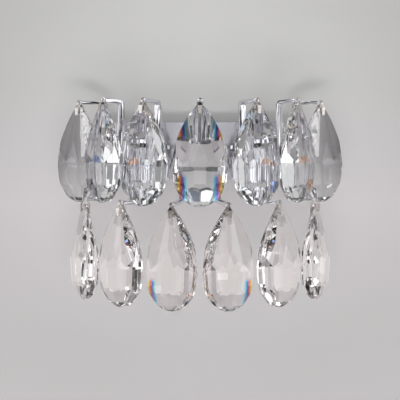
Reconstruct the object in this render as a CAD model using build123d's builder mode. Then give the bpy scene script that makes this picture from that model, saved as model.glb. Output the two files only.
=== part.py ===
from build123d import *
from math import cos, radians, sin, sqrt, tan
import os

os.makedirs("parts", exist_ok=True)

# A wall light hung with two tiers of faceted almond crystals.
# Frame: +X to the right, +Z up, the wall is the plane Y = 0 and the light stands out towards -Y.
# The origin is the middle of the two wall screws, on the wall.

# ---------------------------------------------------------------- wall box and bracket
BOX_WIDTH = 177.0
BOX_HEIGHT = 34.6
BOX_DEPTH = 21.0
BOX_SHEET = 1.2
BOX_CORNER = 0.8
BOX_EDGE = 0.5

BRACKET_WIDTH = 150.0
BRACKET_HEIGHT = 24.0
BRACKET_SHEET = 2.0
EAR_WIDTH = 10.0
EAR_LENGTH = 14.0
WALL_SCREW_SPACING = 120.0
WALL_SCREW_HOLE = 5.0

THREAD_CORE = 3.5  # plain shank that stands for an M4 thread, and the tapped holes that take it
THREAD_SLACK = 0.05  # radial
CLEARANCE_HOLE = 4.4
BUTTON_HEAD = 7.5
BUTTON_HEIGHT = 2.4
HEAD_ROUND = 0.4  # rounding of a head's edge, as a share of its height
RECESS_LENGTH = 0.5  # size of the cross in a head, as shares of its diameter and height
RECESS_WIDTH = 0.12
RECESS_DEPTH = 0.45
BOX_SCREW_LENGTH = 6.0
BOX_SCREW_BACK = 8.0  # from the wall to the box screws

CABLE_HOLE = 14.0
GROMMET_FLANGE = 18.0
GROMMET_FLANGE_HEIGHT = 2.0
GROMMET_BORE = 9.0
GROMMET_ROUND = 0.8

EARTH_BOSS = 8.0
EARTH_BOSS_HEIGHT = 4.0
EARTH_X = 48.0
EARTH_Z = -4.0
EARTH_HEAD = 7.0
EARTH_HEAD_HEIGHT = 2.4
EARTH_SCREW_LENGTH = 5.0

TERMINAL_WIDTH = 24.0
TERMINAL_HEIGHT = 14.0
TERMINAL_DEPTH = 13.0
TERMINAL_X = 25.0  # its middle, beside the cable hole
TERMINAL_POLES = 3
TERMINAL_PITCH = 7.5
TERMINAL_WELL = 4.2
TERMINAL_WELL_DEPTH = 7.0
TERMINAL_BORE = 3.4
TERMINAL_SCREW = 3.9
TERMINAL_SCREW_HEIGHT = 2.4
TERMINAL_SLOT = 0.8  # width and depth of the slot in each terminal screw

# ---------------------------------------------------------------- carrier hoop and arms
HOOP_WIDTH = 5.0
ARM_WIDTH = 6.0
BAR_THICKNESS = 3.0
BAR_BEND = 3.2  # radius of the middle line at each arm's bend
HOOP_Z = -6.35
TAB_THICKNESS = 2.5
TAB_LENGTH = 12.0
TAB_TOP = 9.0
TAB_REACH = 4.2  # how far the tab runs on past the box face
TAB_SCREW_Z = 3.0
TAB_SCREW_BACK = 9.0  # from the wall to the hoop screws
HOOP_SCREW_LENGTH = 9.0
RIVET_NUT = 8.0
RIVET_NUT_LENGTH = 5.0
SPIGOT = 2.5  # foot of each arm, riveted into the hoop
SPIGOT_SLACK = 0.02

# Pendant places, from the middle of the light outwards: angle from straight ahead, the way the arm
# heads, the twist of the clip and crystal on it, how far its tip stands out past the hoop, height of
# the arm at its tip and the angle at which the arm rises to it.
UPPER_ANGLES = (0.0, 25.4, 51.7, 76.5)
UPPER_HEADINGS = (0.0, 30.0, 49.0, 45.0)
UPPER_TWISTS = (0.0, 0.0, 0.0, -12.0)
UPPER_OVERHANG = (24.8, 24.8, 20.4, 24.8)
UPPER_TIP_Z = (34.5, 34.9, 36.0, 34.7)
UPPER_RISE = (1.0, 2.5, 5.0, 0.0)
LOWER_ANGLES = (12.3, 37.4, 66.2)
LOWER_HEADINGS = (22.0, 38.5, 65.0)
LOWER_TWISTS = (0.0, 0.0, 0.0)
LOWER_OVERHANG = (24.8, 24.8, 24.8)
LOWER_TIP_Z = (-56.5, -55.4, -54.2)
LOWER_RISE = (-6.0, 2.0, 3.0)

TIP_WALL = 1.7  # metal between the eye of an arm and its end
TIP_EYE = 3.8
TIP_ROUND = 2.25  # corner radius of an arm's end

# ---------------------------------------------------------------- clips and crystals
CLIP_STRIP = 0.6
CLIP_LOOP = 1.8  # inside radius of the loop over the arm
CLIP_NECK = 1.5
CLIP_WAIST = 4.2
CLIP_FOOT = 2.4
CLIP_PIN = 1.4
PIN_DROP = 10.2  # from the swing axis to the pin
CLIP_GAP = 0.3  # between each leg and the crystal

CRYSTAL_HEIGHT = 88.0
CRYSTAL_WIDTH = 48.5
CRYSTAL_DEPTH = 24.0
CRYSTAL_BELLY = 55.4  # from the tip to the widest place
FACETS = 7  # kites on each face of a crystal
CRYSTAL_TIP = 3.0  # half width of the blunt tip
CRYSTAL_CREASE = 53.0  # from the tip to the crease that crosses the front
CRYSTAL_TIP_SECTION = 4.6  # half width of the figure that the front kites leave at the tip
KITE_FOOT = 49.5  # from the tip to the low points of the front kites
KITE_FOOT_SHARE = 0.99  # their half width there, as a share of the crease's
SIDE_KITE = 24.0  # from the tip to where the side kites touch the outline
FRONT_GROWTH = 0.31  # lean of the middle facet above the crease
BAND_GROWTH = 0.12  # lean of the facets beside it
BELLY_GROWTH = -0.10  # lean of the facets below the crease
FLANK_RISE = 21.0  # from the lowest point up to where the lower side facets touch the outline
FAN_RISE = 10.0  # up to where the bottom fan touches it
FOOT_RISE = 2.5  # and up to where the small facets under the fan touch it
CRYSTAL_HOLE = 2.0
CRYSTAL_HOLE_DOWN = 5.6
GIRDLE = 0.985  # how far in the facets lie from the outline, as a share of the half width

# ---------------------------------------------------------------- lamps
LAMP_X = 42.0
LAMP_FORWARD = 45.0  # from the box face
CUP_DIAMETER = 34.0
CUP_HEIGHT = 19.4
CUP_TOP = -16.6
CUP_WALL = 1.2
CUP_FOOT = 1.0  # how far the foot ring stands out
CUP_FOOT_HEIGHT = 1.8
TUBE_DIAMETER = 8.0
TUBE_WALL = 1.0
TUBE_BEND = 9.0
TUBE_Z = -27.5
TUBE_BACK = 10.5  # from the wall to the tube's upright leg
TUBE_INSIDE = 6.0  # length of the tube inside the box
COLLAR_DIAMETER = 12.0
COLLAR_HEIGHT = 2.0
NUT_ACROSS = 13.0
NUT_HEIGHT = 4.0
LEAD = 3.2  # sleeved pair from the terminals to each holder
LEAD_SLACK = 0.1
LEAD_Z = 12.4
LEAD_BENDS = (4.0, 5.5, TUBE_BEND)
LEAD_GRIP = 3.0  # length inside the terminal and inside the holder

HOLDER_DIAMETER = 19.0
HOLDER_HEIGHT = 16.4
HOLDER_CHAMFER = 0.9
HOLDER_SCREW_SPACING = 12.0
HOLDER_SCREW = 2.5
HOLDER_SCREW_HEAD = 5.0
HOLDER_SCREW_HEAD_HEIGHT = 1.6
HOLDER_SCREW_LENGTH = 5.5
PIN_PITCH = 9.0
PIN_WIDTH = 2.6
PIN_THICKNESS = 0.8
PIN_LENGTH = 8.0
PIN_SLACK = 0.3
LAMP_DIAMETER = 14.0
LAMP_HEIGHT = 33.0
LAMP_PINCH_WIDTH = 13.6
LAMP_PINCH_DEPTH = 5.0
LAMP_PINCH_HEIGHT = 9.0
LAMP_PINCH_CORNER = 1.0
LAMP_SHOULDER = 6.3  # from the lamp's foot to the start of its round bulb
LAMP_DOME = 5.6
LAMP_SEAT = 0.3  # between the lamp's foot and its holder

# ---------------------------------------------------------------- places worked out from the sizes
BOX_BOTTOM = -BOX_HEIGHT / 2
BOX_FLOOR = BOX_BOTTOM + BOX_SHEET
FACE_Y = -BOX_DEPTH
HOOP_RADIUS = BOX_WIDTH / 2 + TAB_THICKNESS
HOOP_TOP = HOOP_Z + BAR_THICKNESS / 2
HOOP_BOTTOM = HOOP_Z - BAR_THICKNESS / 2
EAR_X = (BRACKET_WIDTH - EAR_WIDTH) / 2
CUP_BOTTOM = CUP_TOP - CUP_HEIGHT
CUP_FLOOR = CUP_BOTTOM + CUP_WALL
LAMP_Y = FACE_Y - LAMP_FORWARD
HOLDER_TOP = CUP_FLOOR + HOLDER_HEIGHT
SIDES = {"left": -1, "right": 1}


def save(piece, name):
    """Label a finished piece and write it under its own name."""
    piece.label = name
    export_step(piece, f"parts/{name}.step")


def upright(x, y, z, heading):
    """Plane whose X runs across the heading, whose Z points up and whose -Y faces the heading."""
    across = (cos(radians(heading)), sin(radians(heading)), 0)
    return Plane(origin=(x, y, z), x_dir=across, z_dir=(0, 0, 1))


def screw(head_diameter, head_height, shank_diameter, shank_length):
    """Round-headed screw along Z: the head above Z = 0, the shank below, with a cross-shaped recess."""
    with BuildPart() as made:
        Cylinder(
            shank_diameter / 2,
            shank_length,
            align=(Align.CENTER, Align.CENTER, Align.MAX),
        )
        Cylinder(
            head_diameter / 2,
            head_height,
            align=(Align.CENTER, Align.CENTER, Align.MIN),
        )
        fillet(made.edges().sort_by(Axis.Z)[-1], HEAD_ROUND * head_height)
        with BuildSketch(Plane.XY.offset(head_height)):
            for turn in (0, 90):
                Rectangle(RECESS_LENGTH * head_diameter, RECESS_WIDTH * head_diameter, rotation=turn)
        extrude(amount=-RECESS_DEPTH * head_height, mode=Mode.SUBTRACT)
    return made.part


# ================================================================ wall bracket
with BuildPart() as wall_bracket:
    with BuildSketch(Plane.XZ):
        Rectangle(BRACKET_WIDTH, BRACKET_HEIGHT)
        with Locations((-EAR_X, 0), (EAR_X, 0)):
            Rectangle(EAR_WIDTH, -2 * BOX_FLOOR)
    extrude(amount=BRACKET_SHEET)
    ear_middle_y = -EAR_LENGTH / 2
    with BuildSketch(Plane.XY.offset(BOX_FLOOR)):
        with Locations((-EAR_X, ear_middle_y), (EAR_X, ear_middle_y)):
            Rectangle(EAR_WIDTH, EAR_LENGTH)
    extrude(amount=BRACKET_SHEET)
    with BuildSketch(Plane.XZ.offset(BRACKET_SHEET)):
        with Locations((EARTH_X, EARTH_Z)):
            Circle(EARTH_BOSS / 2)
    extrude(amount=EARTH_BOSS_HEIGHT)
    with BuildSketch(Plane.XZ):
        Circle(CABLE_HOLE / 2)
        with GridLocations(WALL_SCREW_SPACING, 0, 2, 1):
            Circle(WALL_SCREW_HOLE / 2)
    extrude(amount=BRACKET_SHEET, mode=Mode.SUBTRACT)
    with BuildSketch(Plane.XZ.offset(BRACKET_SHEET + EARTH_BOSS_HEIGHT)):
        with Locations((EARTH_X, EARTH_Z)):
            Circle(THREAD_CORE / 2 + THREAD_SLACK)
    extrude(amount=-EARTH_SCREW_LENGTH - THREAD_SLACK, mode=Mode.SUBTRACT)
    with BuildSketch(Plane.XY.offset(BOX_FLOOR)):
        with Locations((-EAR_X, -BOX_SCREW_BACK), (EAR_X, -BOX_SCREW_BACK)):
            Circle(THREAD_CORE / 2 + THREAD_SLACK)
    extrude(amount=BRACKET_SHEET, mode=Mode.SUBTRACT)
save(wall_bracket.part, "wall_bracket")

with BuildPart() as cable_grommet:
    with BuildSketch(Plane.XZ.offset(BRACKET_SHEET)):
        Circle(GROMMET_FLANGE / 2)
    extrude(amount=GROMMET_FLANGE_HEIGHT)
    fillet(cable_grommet.edges().group_by(Axis.Y)[0], GROMMET_ROUND)
    with BuildSketch(Plane.XZ):
        Circle(CABLE_HOLE / 2 - THREAD_SLACK)
    extrude(amount=BRACKET_SHEET)
    with BuildSketch(Plane.XZ):
        Circle(GROMMET_BORE / 2)
    extrude(amount=BRACKET_SHEET + GROMMET_FLANGE_HEIGHT, mode=Mode.SUBTRACT)
save(cable_grommet.part, "cable_grommet")

earth_face = Plane(
    origin=(EARTH_X, -BRACKET_SHEET - EARTH_BOSS_HEIGHT, EARTH_Z),
    x_dir=(1, 0, 0),
    z_dir=(0, -1, 0),
)
earth_pattern = screw(EARTH_HEAD, EARTH_HEAD_HEIGHT, THREAD_CORE, EARTH_SCREW_LENGTH)
with BuildPart(earth_face) as earth_screw:
    add(earth_pattern)
save(earth_screw.part, "earth_screw")

# ================================================================ terminal block
terminal_face = Plane(
    origin=(TERMINAL_X, -BRACKET_SHEET - TERMINAL_DEPTH, 0),
    x_dir=(1, 0, 0),
    z_dir=(0, -1, 0),
)
well_rows = TERMINAL_HEIGHT / 2
bore_y = -BRACKET_SHEET - TERMINAL_DEPTH + TERMINAL_WELL_DEPTH
with BuildPart() as terminal_block:
    with BuildSketch(terminal_face):
        Rectangle(TERMINAL_WIDTH, TERMINAL_HEIGHT)
    extrude(amount=-TERMINAL_DEPTH)
    with BuildSketch(terminal_face):
        with GridLocations(TERMINAL_PITCH, well_rows, TERMINAL_POLES, 2):
            Circle(TERMINAL_WELL / 2)
    extrude(amount=-TERMINAL_WELL_DEPTH, mode=Mode.SUBTRACT)
    with BuildSketch(Plane.XY.offset(-TERMINAL_HEIGHT)):
        with Locations((TERMINAL_X, bore_y)):
            with GridLocations(TERMINAL_PITCH, 0, TERMINAL_POLES, 1):
                Circle(TERMINAL_BORE / 2)
    extrude(amount=2 * TERMINAL_HEIGHT, mode=Mode.SUBTRACT)
save(terminal_block.part, "terminal_block")

screw_seat = terminal_face.offset(-TERMINAL_WELL_DEPTH + TERMINAL_BORE / 2)
with BuildPart() as terminal_screws:
    with BuildSketch(screw_seat):
        with GridLocations(TERMINAL_PITCH, well_rows, TERMINAL_POLES, 2):
            Circle(TERMINAL_SCREW / 2)
    extrude(amount=TERMINAL_SCREW_HEIGHT)
    with BuildSketch(screw_seat.offset(TERMINAL_SCREW_HEIGHT)):
        with GridLocations(TERMINAL_PITCH, well_rows, TERMINAL_POLES, 2):
            Rectangle(TERMINAL_SCREW, TERMINAL_SLOT)
    extrude(amount=-TERMINAL_SLOT, mode=Mode.SUBTRACT)
save(terminal_screws.part, "terminal_screws")

# ================================================================ wall box
with BuildPart() as wall_box:
    with BuildSketch(Plane.XZ):
        Rectangle(BOX_WIDTH, BOX_HEIGHT)
    extrude(amount=BOX_DEPTH)
    fillet(wall_box.edges().filter_by(Axis.Y), BOX_CORNER)
    fillet(wall_box.faces().sort_by(Axis.Y)[0].edges(), BOX_EDGE)
    with BuildSketch(Plane.XZ):
        Rectangle(BOX_WIDTH - 2 * BOX_SHEET, BOX_HEIGHT - 2 * BOX_SHEET)
    extrude(amount=BOX_DEPTH - BOX_SHEET, mode=Mode.SUBTRACT)
    # rivet nuts for the hoop, inside the ends
    for side in SIDES.values():
        nut_face = Plane(
            origin=(side * (BOX_WIDTH / 2 - BOX_SHEET), -TAB_SCREW_BACK, TAB_SCREW_Z),
            x_dir=(0, 1, 0),
            z_dir=(-side, 0, 0),
        )
        with BuildSketch(nut_face):
            Circle(RIVET_NUT / 2)
        extrude(amount=RIVET_NUT_LENGTH)
        with BuildSketch(nut_face.offset(-BOX_SHEET)):
            Circle(THREAD_CORE / 2 + THREAD_SLACK)
        extrude(amount=BOX_SHEET + RIVET_NUT_LENGTH, mode=Mode.SUBTRACT)
    with BuildSketch(Plane.XY.offset(BOX_BOTTOM)):
        with Locations((-EAR_X, -BOX_SCREW_BACK), (EAR_X, -BOX_SCREW_BACK)):
            Circle(CLEARANCE_HOLE / 2)
        with Locations((-LAMP_X, -TUBE_BACK), (LAMP_X, -TUBE_BACK)):
            Circle(TUBE_DIAMETER / 2 + THREAD_SLACK)
    extrude(amount=BOX_SHEET, mode=Mode.SUBTRACT)
save(wall_box.part, "wall_box")

box_screw = screw(BUTTON_HEAD, BUTTON_HEIGHT, THREAD_CORE, BOX_SCREW_LENGTH)
box_screw_seats = [
    Plane(origin=(side * EAR_X, -BOX_SCREW_BACK, BOX_BOTTOM), x_dir=(1, 0, 0), z_dir=(0, 0, -1))
    for side in SIDES.values()
]
with BuildPart(*box_screw_seats) as box_screws:
    add(box_screw)
save(box_screws.part, "box_screws")

# ================================================================ pendant places


class Pendant:
    """Where one arm, its clip and its crystal stand."""

    def __init__(self, side, angle, heading, twist, overhang, tip_z, rise):
        reach = HOOP_RADIUS + overhang
        self.heading = side * heading
        self.facing = side * (heading + twist)
        self.rise = rise
        self.tip_x = side * reach * sin(radians(angle))
        self.tip_forward = reach * cos(radians(angle))
        self.tip_z = tip_z
        # the foot is where a line back along the heading meets the hoop
        ahead_x = sin(radians(self.heading))
        ahead_forward = cos(radians(self.heading))
        along = self.tip_x * ahead_x + self.tip_forward * ahead_forward
        self.length = along - sqrt(along**2 - reach**2 + HOOP_RADIUS**2)

    def arm_frame(self, z):
        """Plane under the swing axis at height z: X across the arm, -Y along it, Z up."""
        return upright(self.tip_x, FACE_Y - self.tip_forward, z, self.heading)

    def hung_frame(self, z):
        """The same for the clip and the crystal, which may be twisted on the arm."""
        return upright(self.tip_x, FACE_Y - self.tip_forward, z, self.facing)


def tier(*columns):
    """Pendants of one tier from left to right; a pendant at angle 0 stands alone in the middle."""
    rows = list(zip(*columns))
    left = [Pendant(-1, *row) for row in reversed(rows)]
    right = [Pendant(1, *row) for row in rows if row[0] > 0]
    return left + right


upper_tier = tier(
    UPPER_ANGLES, UPPER_HEADINGS, UPPER_TWISTS, UPPER_OVERHANG, UPPER_TIP_Z, UPPER_RISE
)
lower_tier = tier(
    LOWER_ANGLES, LOWER_HEADINGS, LOWER_TWISTS, LOWER_OVERHANG, LOWER_TIP_Z, LOWER_RISE
)
tiers = {"upper": upper_tier, "lower": lower_tier}

# ================================================================ hoop
tab_x = BOX_WIDTH / 2 + TAB_THICKNESS / 2
with BuildPart() as hoop:
    with BuildSketch(Plane.XY.offset(HOOP_BOTTOM)):
        with Locations((0, FACE_Y)):
            Circle(HOOP_RADIUS + HOOP_WIDTH / 2)
            Circle(HOOP_RADIUS - HOOP_WIDTH / 2, mode=Mode.SUBTRACT)
        with Locations((0, FACE_Y + HOOP_RADIUS)):
            Rectangle(3 * HOOP_RADIUS, 2 * HOOP_RADIUS, mode=Mode.SUBTRACT)
        for side in SIDES.values():
            with Locations((side * HOOP_RADIUS, FACE_Y)):
                Rectangle(HOOP_WIDTH, TAB_LENGTH, align=(Align.CENTER, Align.MIN))
    extrude(amount=BAR_THICKNESS)
    for side in SIDES.values():
        with BuildSketch(Plane.XY.offset(HOOP_BOTTOM)):
            with Locations((side * tab_x, FACE_Y)):
                Rectangle(TAB_THICKNESS, TAB_LENGTH + TAB_REACH, align=(Align.CENTER, Align.MIN))
        extrude(amount=TAB_TOP - HOOP_BOTTOM)
    with BuildSketch(Plane.YZ.offset(-BOX_WIDTH)):
        with Locations((-TAB_SCREW_BACK, TAB_SCREW_Z)):
            Circle(CLEARANCE_HOLE / 2)
    extrude(amount=2 * BOX_WIDTH, mode=Mode.SUBTRACT)
    for pendants in tiers.values():
        for pendant in pendants:
            foot = pendant.arm_frame(HOOP_BOTTOM)
            with BuildSketch(foot):
                with Locations((0, pendant.length)):
                    Circle(SPIGOT / 2 + SPIGOT_SLACK)
            extrude(amount=BAR_THICKNESS, mode=Mode.SUBTRACT)
save(hoop.part, "hoop")

hoop_screw = screw(BUTTON_HEAD, BUTTON_HEIGHT, THREAD_CORE, HOOP_SCREW_LENGTH)
hoop_screw_seats = [
    Plane(
        origin=(side * (BOX_WIDTH / 2 + TAB_THICKNESS), -TAB_SCREW_BACK, TAB_SCREW_Z),
        x_dir=(0, 1, 0),
        z_dir=(side, 0, 0),
    )
    for side in SIDES.values()
]
with BuildPart(*hoop_screw_seats) as hoop_screws:
    add(hoop_screw)
save(hoop_screws.part, "hoop_screws")


# ================================================================ arms
def arm(pendant, root_z, name):
    """Flat bar from the hoop, bent outwards to an eye that carries one clip."""
    run = pendant.length + TIP_WALL / 2
    start = -1 if root_z == HOOP_BOTTOM else 1
    bend_z = pendant.tip_z - pendant.length * tan(radians(pendant.rise)) - root_z
    end_z = pendant.tip_z + TIP_WALL / 2 * tan(radians(pendant.rise)) - root_z
    base = pendant.arm_frame(root_z)
    side_on = Plane(
        origin=base.from_local_coords((0, pendant.length, 0)),
        x_dir=-base.y_dir,
        z_dir=-base.x_dir,
    )
    with BuildPart() as bar:
        with BuildLine(side_on):
            FilletPolyline((0, 0), (0, bend_z), (run, end_z), radius=BAR_BEND)
        with BuildSketch(base):
            with Locations((0, pendant.length)):
                Rectangle(ARM_WIDTH, BAR_THICKNESS)
        sweep()
        outwards = Axis(base.origin, -base.y_dir)
        tip_edges = bar.faces().sort_by(outwards)[-1].edges()
        fillet(tip_edges.filter_by(lambda edge: edge.length < ARM_WIDTH - TIP_ROUND / 2), TIP_ROUND)
        eye = pendant.arm_frame(pendant.tip_z)
        with BuildSketch(eye.offset(-ARM_WIDTH)):
            with Locations((0, TIP_WALL / 2 + TIP_EYE / 2)):
                Circle(TIP_EYE / 2)
        extrude(amount=2 * ARM_WIDTH, mode=Mode.SUBTRACT)
        with BuildSketch(base):
            with Locations((0, pendant.length)):
                Circle(SPIGOT / 2)
        extrude(amount=-start * BAR_THICKNESS)
    save(bar.part, name)


for number, pendant in enumerate(upper_tier, start=1):
    arm(pendant, HOOP_TOP, f"upper_arm_{number}")
for number, pendant in enumerate(lower_tier, start=1):
    arm(pendant, HOOP_BOTTOM, f"lower_arm_{number}")


# ================================================================ crystal
# the flank's radius puts an arc through the blunt tip that stands upright at the belly
FLANK_STEP = CRYSTAL_WIDTH / 2 - CRYSTAL_TIP
FLANK = (FLANK_STEP**2 + CRYSTAL_BELLY**2) / (2 * FLANK_STEP)
FLATNESS = CRYSTAL_DEPTH / CRYSTAL_WIDTH


def half_width(down):
    """Half width of the outline at a distance below the tip: an arc, then half an ellipse."""
    if down < CRYSTAL_BELLY:
        return CRYSTAL_WIDTH / 2 - FLANK + sqrt(FLANK**2 - (CRYSTAL_BELLY - down) ** 2)
    lower = (down - CRYSTAL_BELLY) / (CRYSTAL_HEIGHT - CRYSTAL_BELLY)
    return CRYSTAL_WIDTH / 2 * sqrt(1 - lower**2)


def slope(down):
    """How fast the half width grows with the distance below the tip."""
    if down < CRYSTAL_BELLY:
        return (CRYSTAL_BELLY - down) / sqrt(FLANK**2 - (CRYSTAL_BELLY - down) ** 2)
    span = CRYSTAL_HEIGHT - CRYSTAL_BELLY
    lower = (down - CRYSTAL_BELLY) / span
    return -CRYSTAL_WIDTH / 2 * lower / (span * sqrt(1 - lower**2))


def touch(down):
    """Place, half width and growth of a facet that just touches the outline at a distance down."""
    return down, GIRDLE * half_width(down), slope(down)


def facet(turn, down, radius, growth):
    """Cutting plane that faces a turn about Z (90 is the front).

    At the distance down it lies at the given half width, and leans by the growth of that half width.
    The section across the depth is the same figure flattened.
    """
    out_x = cos(radians(turn))
    out_y = -sin(radians(turn))
    return Plane(
        origin=(radius * out_x, radius * FLATNESS * out_y, CRYSTAL_TOP - down),
        z_dir=(out_x, out_y / FLATNESS, growth),
    )


def facet_ring(turns, down, radius, growth):
    """Facets at the given turns from the front, on both sides and on the back."""
    faces = []
    for turn in turns:
        for face_turn in {90 - turn, 90 + turn, 270 - turn, 270 + turn}:
            faces.append(facet(face_turn, down, radius, growth))
    return faces


CRYSTAL_TOP = CRYSTAL_HOLE_DOWN
FACET_STEP = 180 / FACETS
KITE_TURNS = (FACET_STEP / 2, FACET_STEP * 3 / 2, FACET_STEP * 5 / 2)
BAND_TURNS = (0, FACET_STEP, FACET_STEP * 2, FACET_STEP * 3)
crease_radius = GIRDLE * half_width(CRYSTAL_CREASE)
kite_growth = (KITE_FOOT_SHARE * crease_radius - CRYSTAL_TIP_SECTION) / KITE_FOOT
facets = facet_ring(KITE_TURNS[:2], 0, CRYSTAL_TIP_SECTION, kite_growth)
facets += facet_ring(KITE_TURNS[2:], *touch(SIDE_KITE))
facets += facet_ring(BAND_TURNS[:1], CRYSTAL_CREASE, crease_radius, FRONT_GROWTH)
facets += facet_ring(BAND_TURNS[1:], CRYSTAL_CREASE, crease_radius, BAND_GROWTH)
facets += facet_ring(BAND_TURNS, CRYSTAL_CREASE, crease_radius, BELLY_GROWTH)
facets += facet_ring(BAND_TURNS[2:], *touch(CRYSTAL_HEIGHT - FLANK_RISE))
facets += facet_ring(KITE_TURNS, *touch(CRYSTAL_HEIGHT - FAN_RISE))
facets += facet_ring(BAND_TURNS[:3], *touch(CRYSTAL_HEIGHT - FOOT_RISE))

with BuildPart() as crystal:
    with BuildSketch(Plane.XZ):
        with BuildLine():
            belly_z = CRYSTAL_TOP - CRYSTAL_BELLY
            RadiusArc((CRYSTAL_TIP, CRYSTAL_TOP), (CRYSTAL_WIDTH / 2, belly_z), FLANK)
            bowl = EllipticalCenterArc(
                (0, belly_z), CRYSTAL_WIDTH / 2, CRYSTAL_HEIGHT - CRYSTAL_BELLY, 270, arc_size=90
            )
            Line(bowl @ 0, (0, CRYSTAL_TOP))
            Line((0, CRYSTAL_TOP), (CRYSTAL_TIP, CRYSTAL_TOP))
        make_face()
        mirror(about=Plane.YZ)
    extrude(amount=CRYSTAL_DEPTH, both=True)
    for plane in facets:
        split(bisect_by=plane, keep=Keep.BOTTOM)
    with BuildSketch(Plane.XZ):
        Circle(CRYSTAL_HOLE / 2)
    extrude(amount=CRYSTAL_DEPTH, both=True, mode=Mode.SUBTRACT)

for tier_name, pendants in tiers.items():
    for number, pendant in enumerate(pendants, start=1):
        with BuildPart(pendant.hung_frame(pendant.tip_z - PIN_DROP)) as hung_crystal:
            add(crystal.part)
        save(hung_crystal.part, f"{tier_name}_crystal_{number}")

# ================================================================ clips
# Side view (X outwards, Y up, about the swing axis): a narrow loop over the arm and two legs that
# splay to the faces of the crystal's tip, where the pin joins them.
tip_section = CRYSTAL_TIP_SECTION + kite_growth * CRYSTAL_HOLE_DOWN
tip_half_depth = FLATNESS * tip_section / cos(radians(KITE_TURNS[0]))
leg_in = tip_half_depth + CLIP_GAP
leg_top = -BAR_THICKNESS / 2 - CLIP_GAP
leg_knee = -PIN_DROP + CRYSTAL_HOLE_DOWN
leg_end = -PIN_DROP - CLIP_PIN
loop_out = CLIP_LOOP + CLIP_STRIP
with BuildPart() as clip:
    with BuildSketch(Plane.YZ):
        with BuildLine():
            CenterArc((0, 0), CLIP_LOOP, 0, 180)
            CenterArc((0, 0), loop_out, 0, 180)
            for side in SIDES.values():
                Polyline(
                    (side * CLIP_LOOP, 0),
                    (side * CLIP_LOOP, leg_top),
                    (side * leg_in, leg_knee),
                    (side * leg_in, leg_end),
                    (side * (leg_in + CLIP_STRIP), leg_end),
                    (side * (leg_in + CLIP_STRIP), leg_knee),
                    (side * loop_out, leg_top),
                    (side * loop_out, 0),
                )
        make_face()
    extrude(amount=CLIP_WAIST / 2, both=True)
    with BuildSketch(Plane.XZ):
        with BuildLine():
            Polyline(
                (0, loop_out),
                (CLIP_NECK / 2, loop_out),
                (CLIP_NECK / 2, leg_top),
                (CLIP_WAIST / 2, leg_knee),
                (CLIP_FOOT / 2, leg_end),
                (0, leg_end),
                (0, loop_out),
            )
        make_face()
        mirror(about=Plane.YZ)
    extrude(amount=CRYSTAL_DEPTH, both=True, mode=Mode.INTERSECT)
    with BuildSketch(Plane.XZ):
        with Locations((0, -PIN_DROP)):
            Circle(CLIP_PIN / 2)
    extrude(amount=leg_in + CLIP_STRIP / 2, both=True)

for tier_name, pendants in tiers.items():
    for number, pendant in enumerate(pendants, start=1):
        with BuildPart(pendant.hung_frame(pendant.tip_z)) as hung_clip:
            add(clip.part)
        save(hung_clip.part, f"{tier_name}_clip_{number}")

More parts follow.
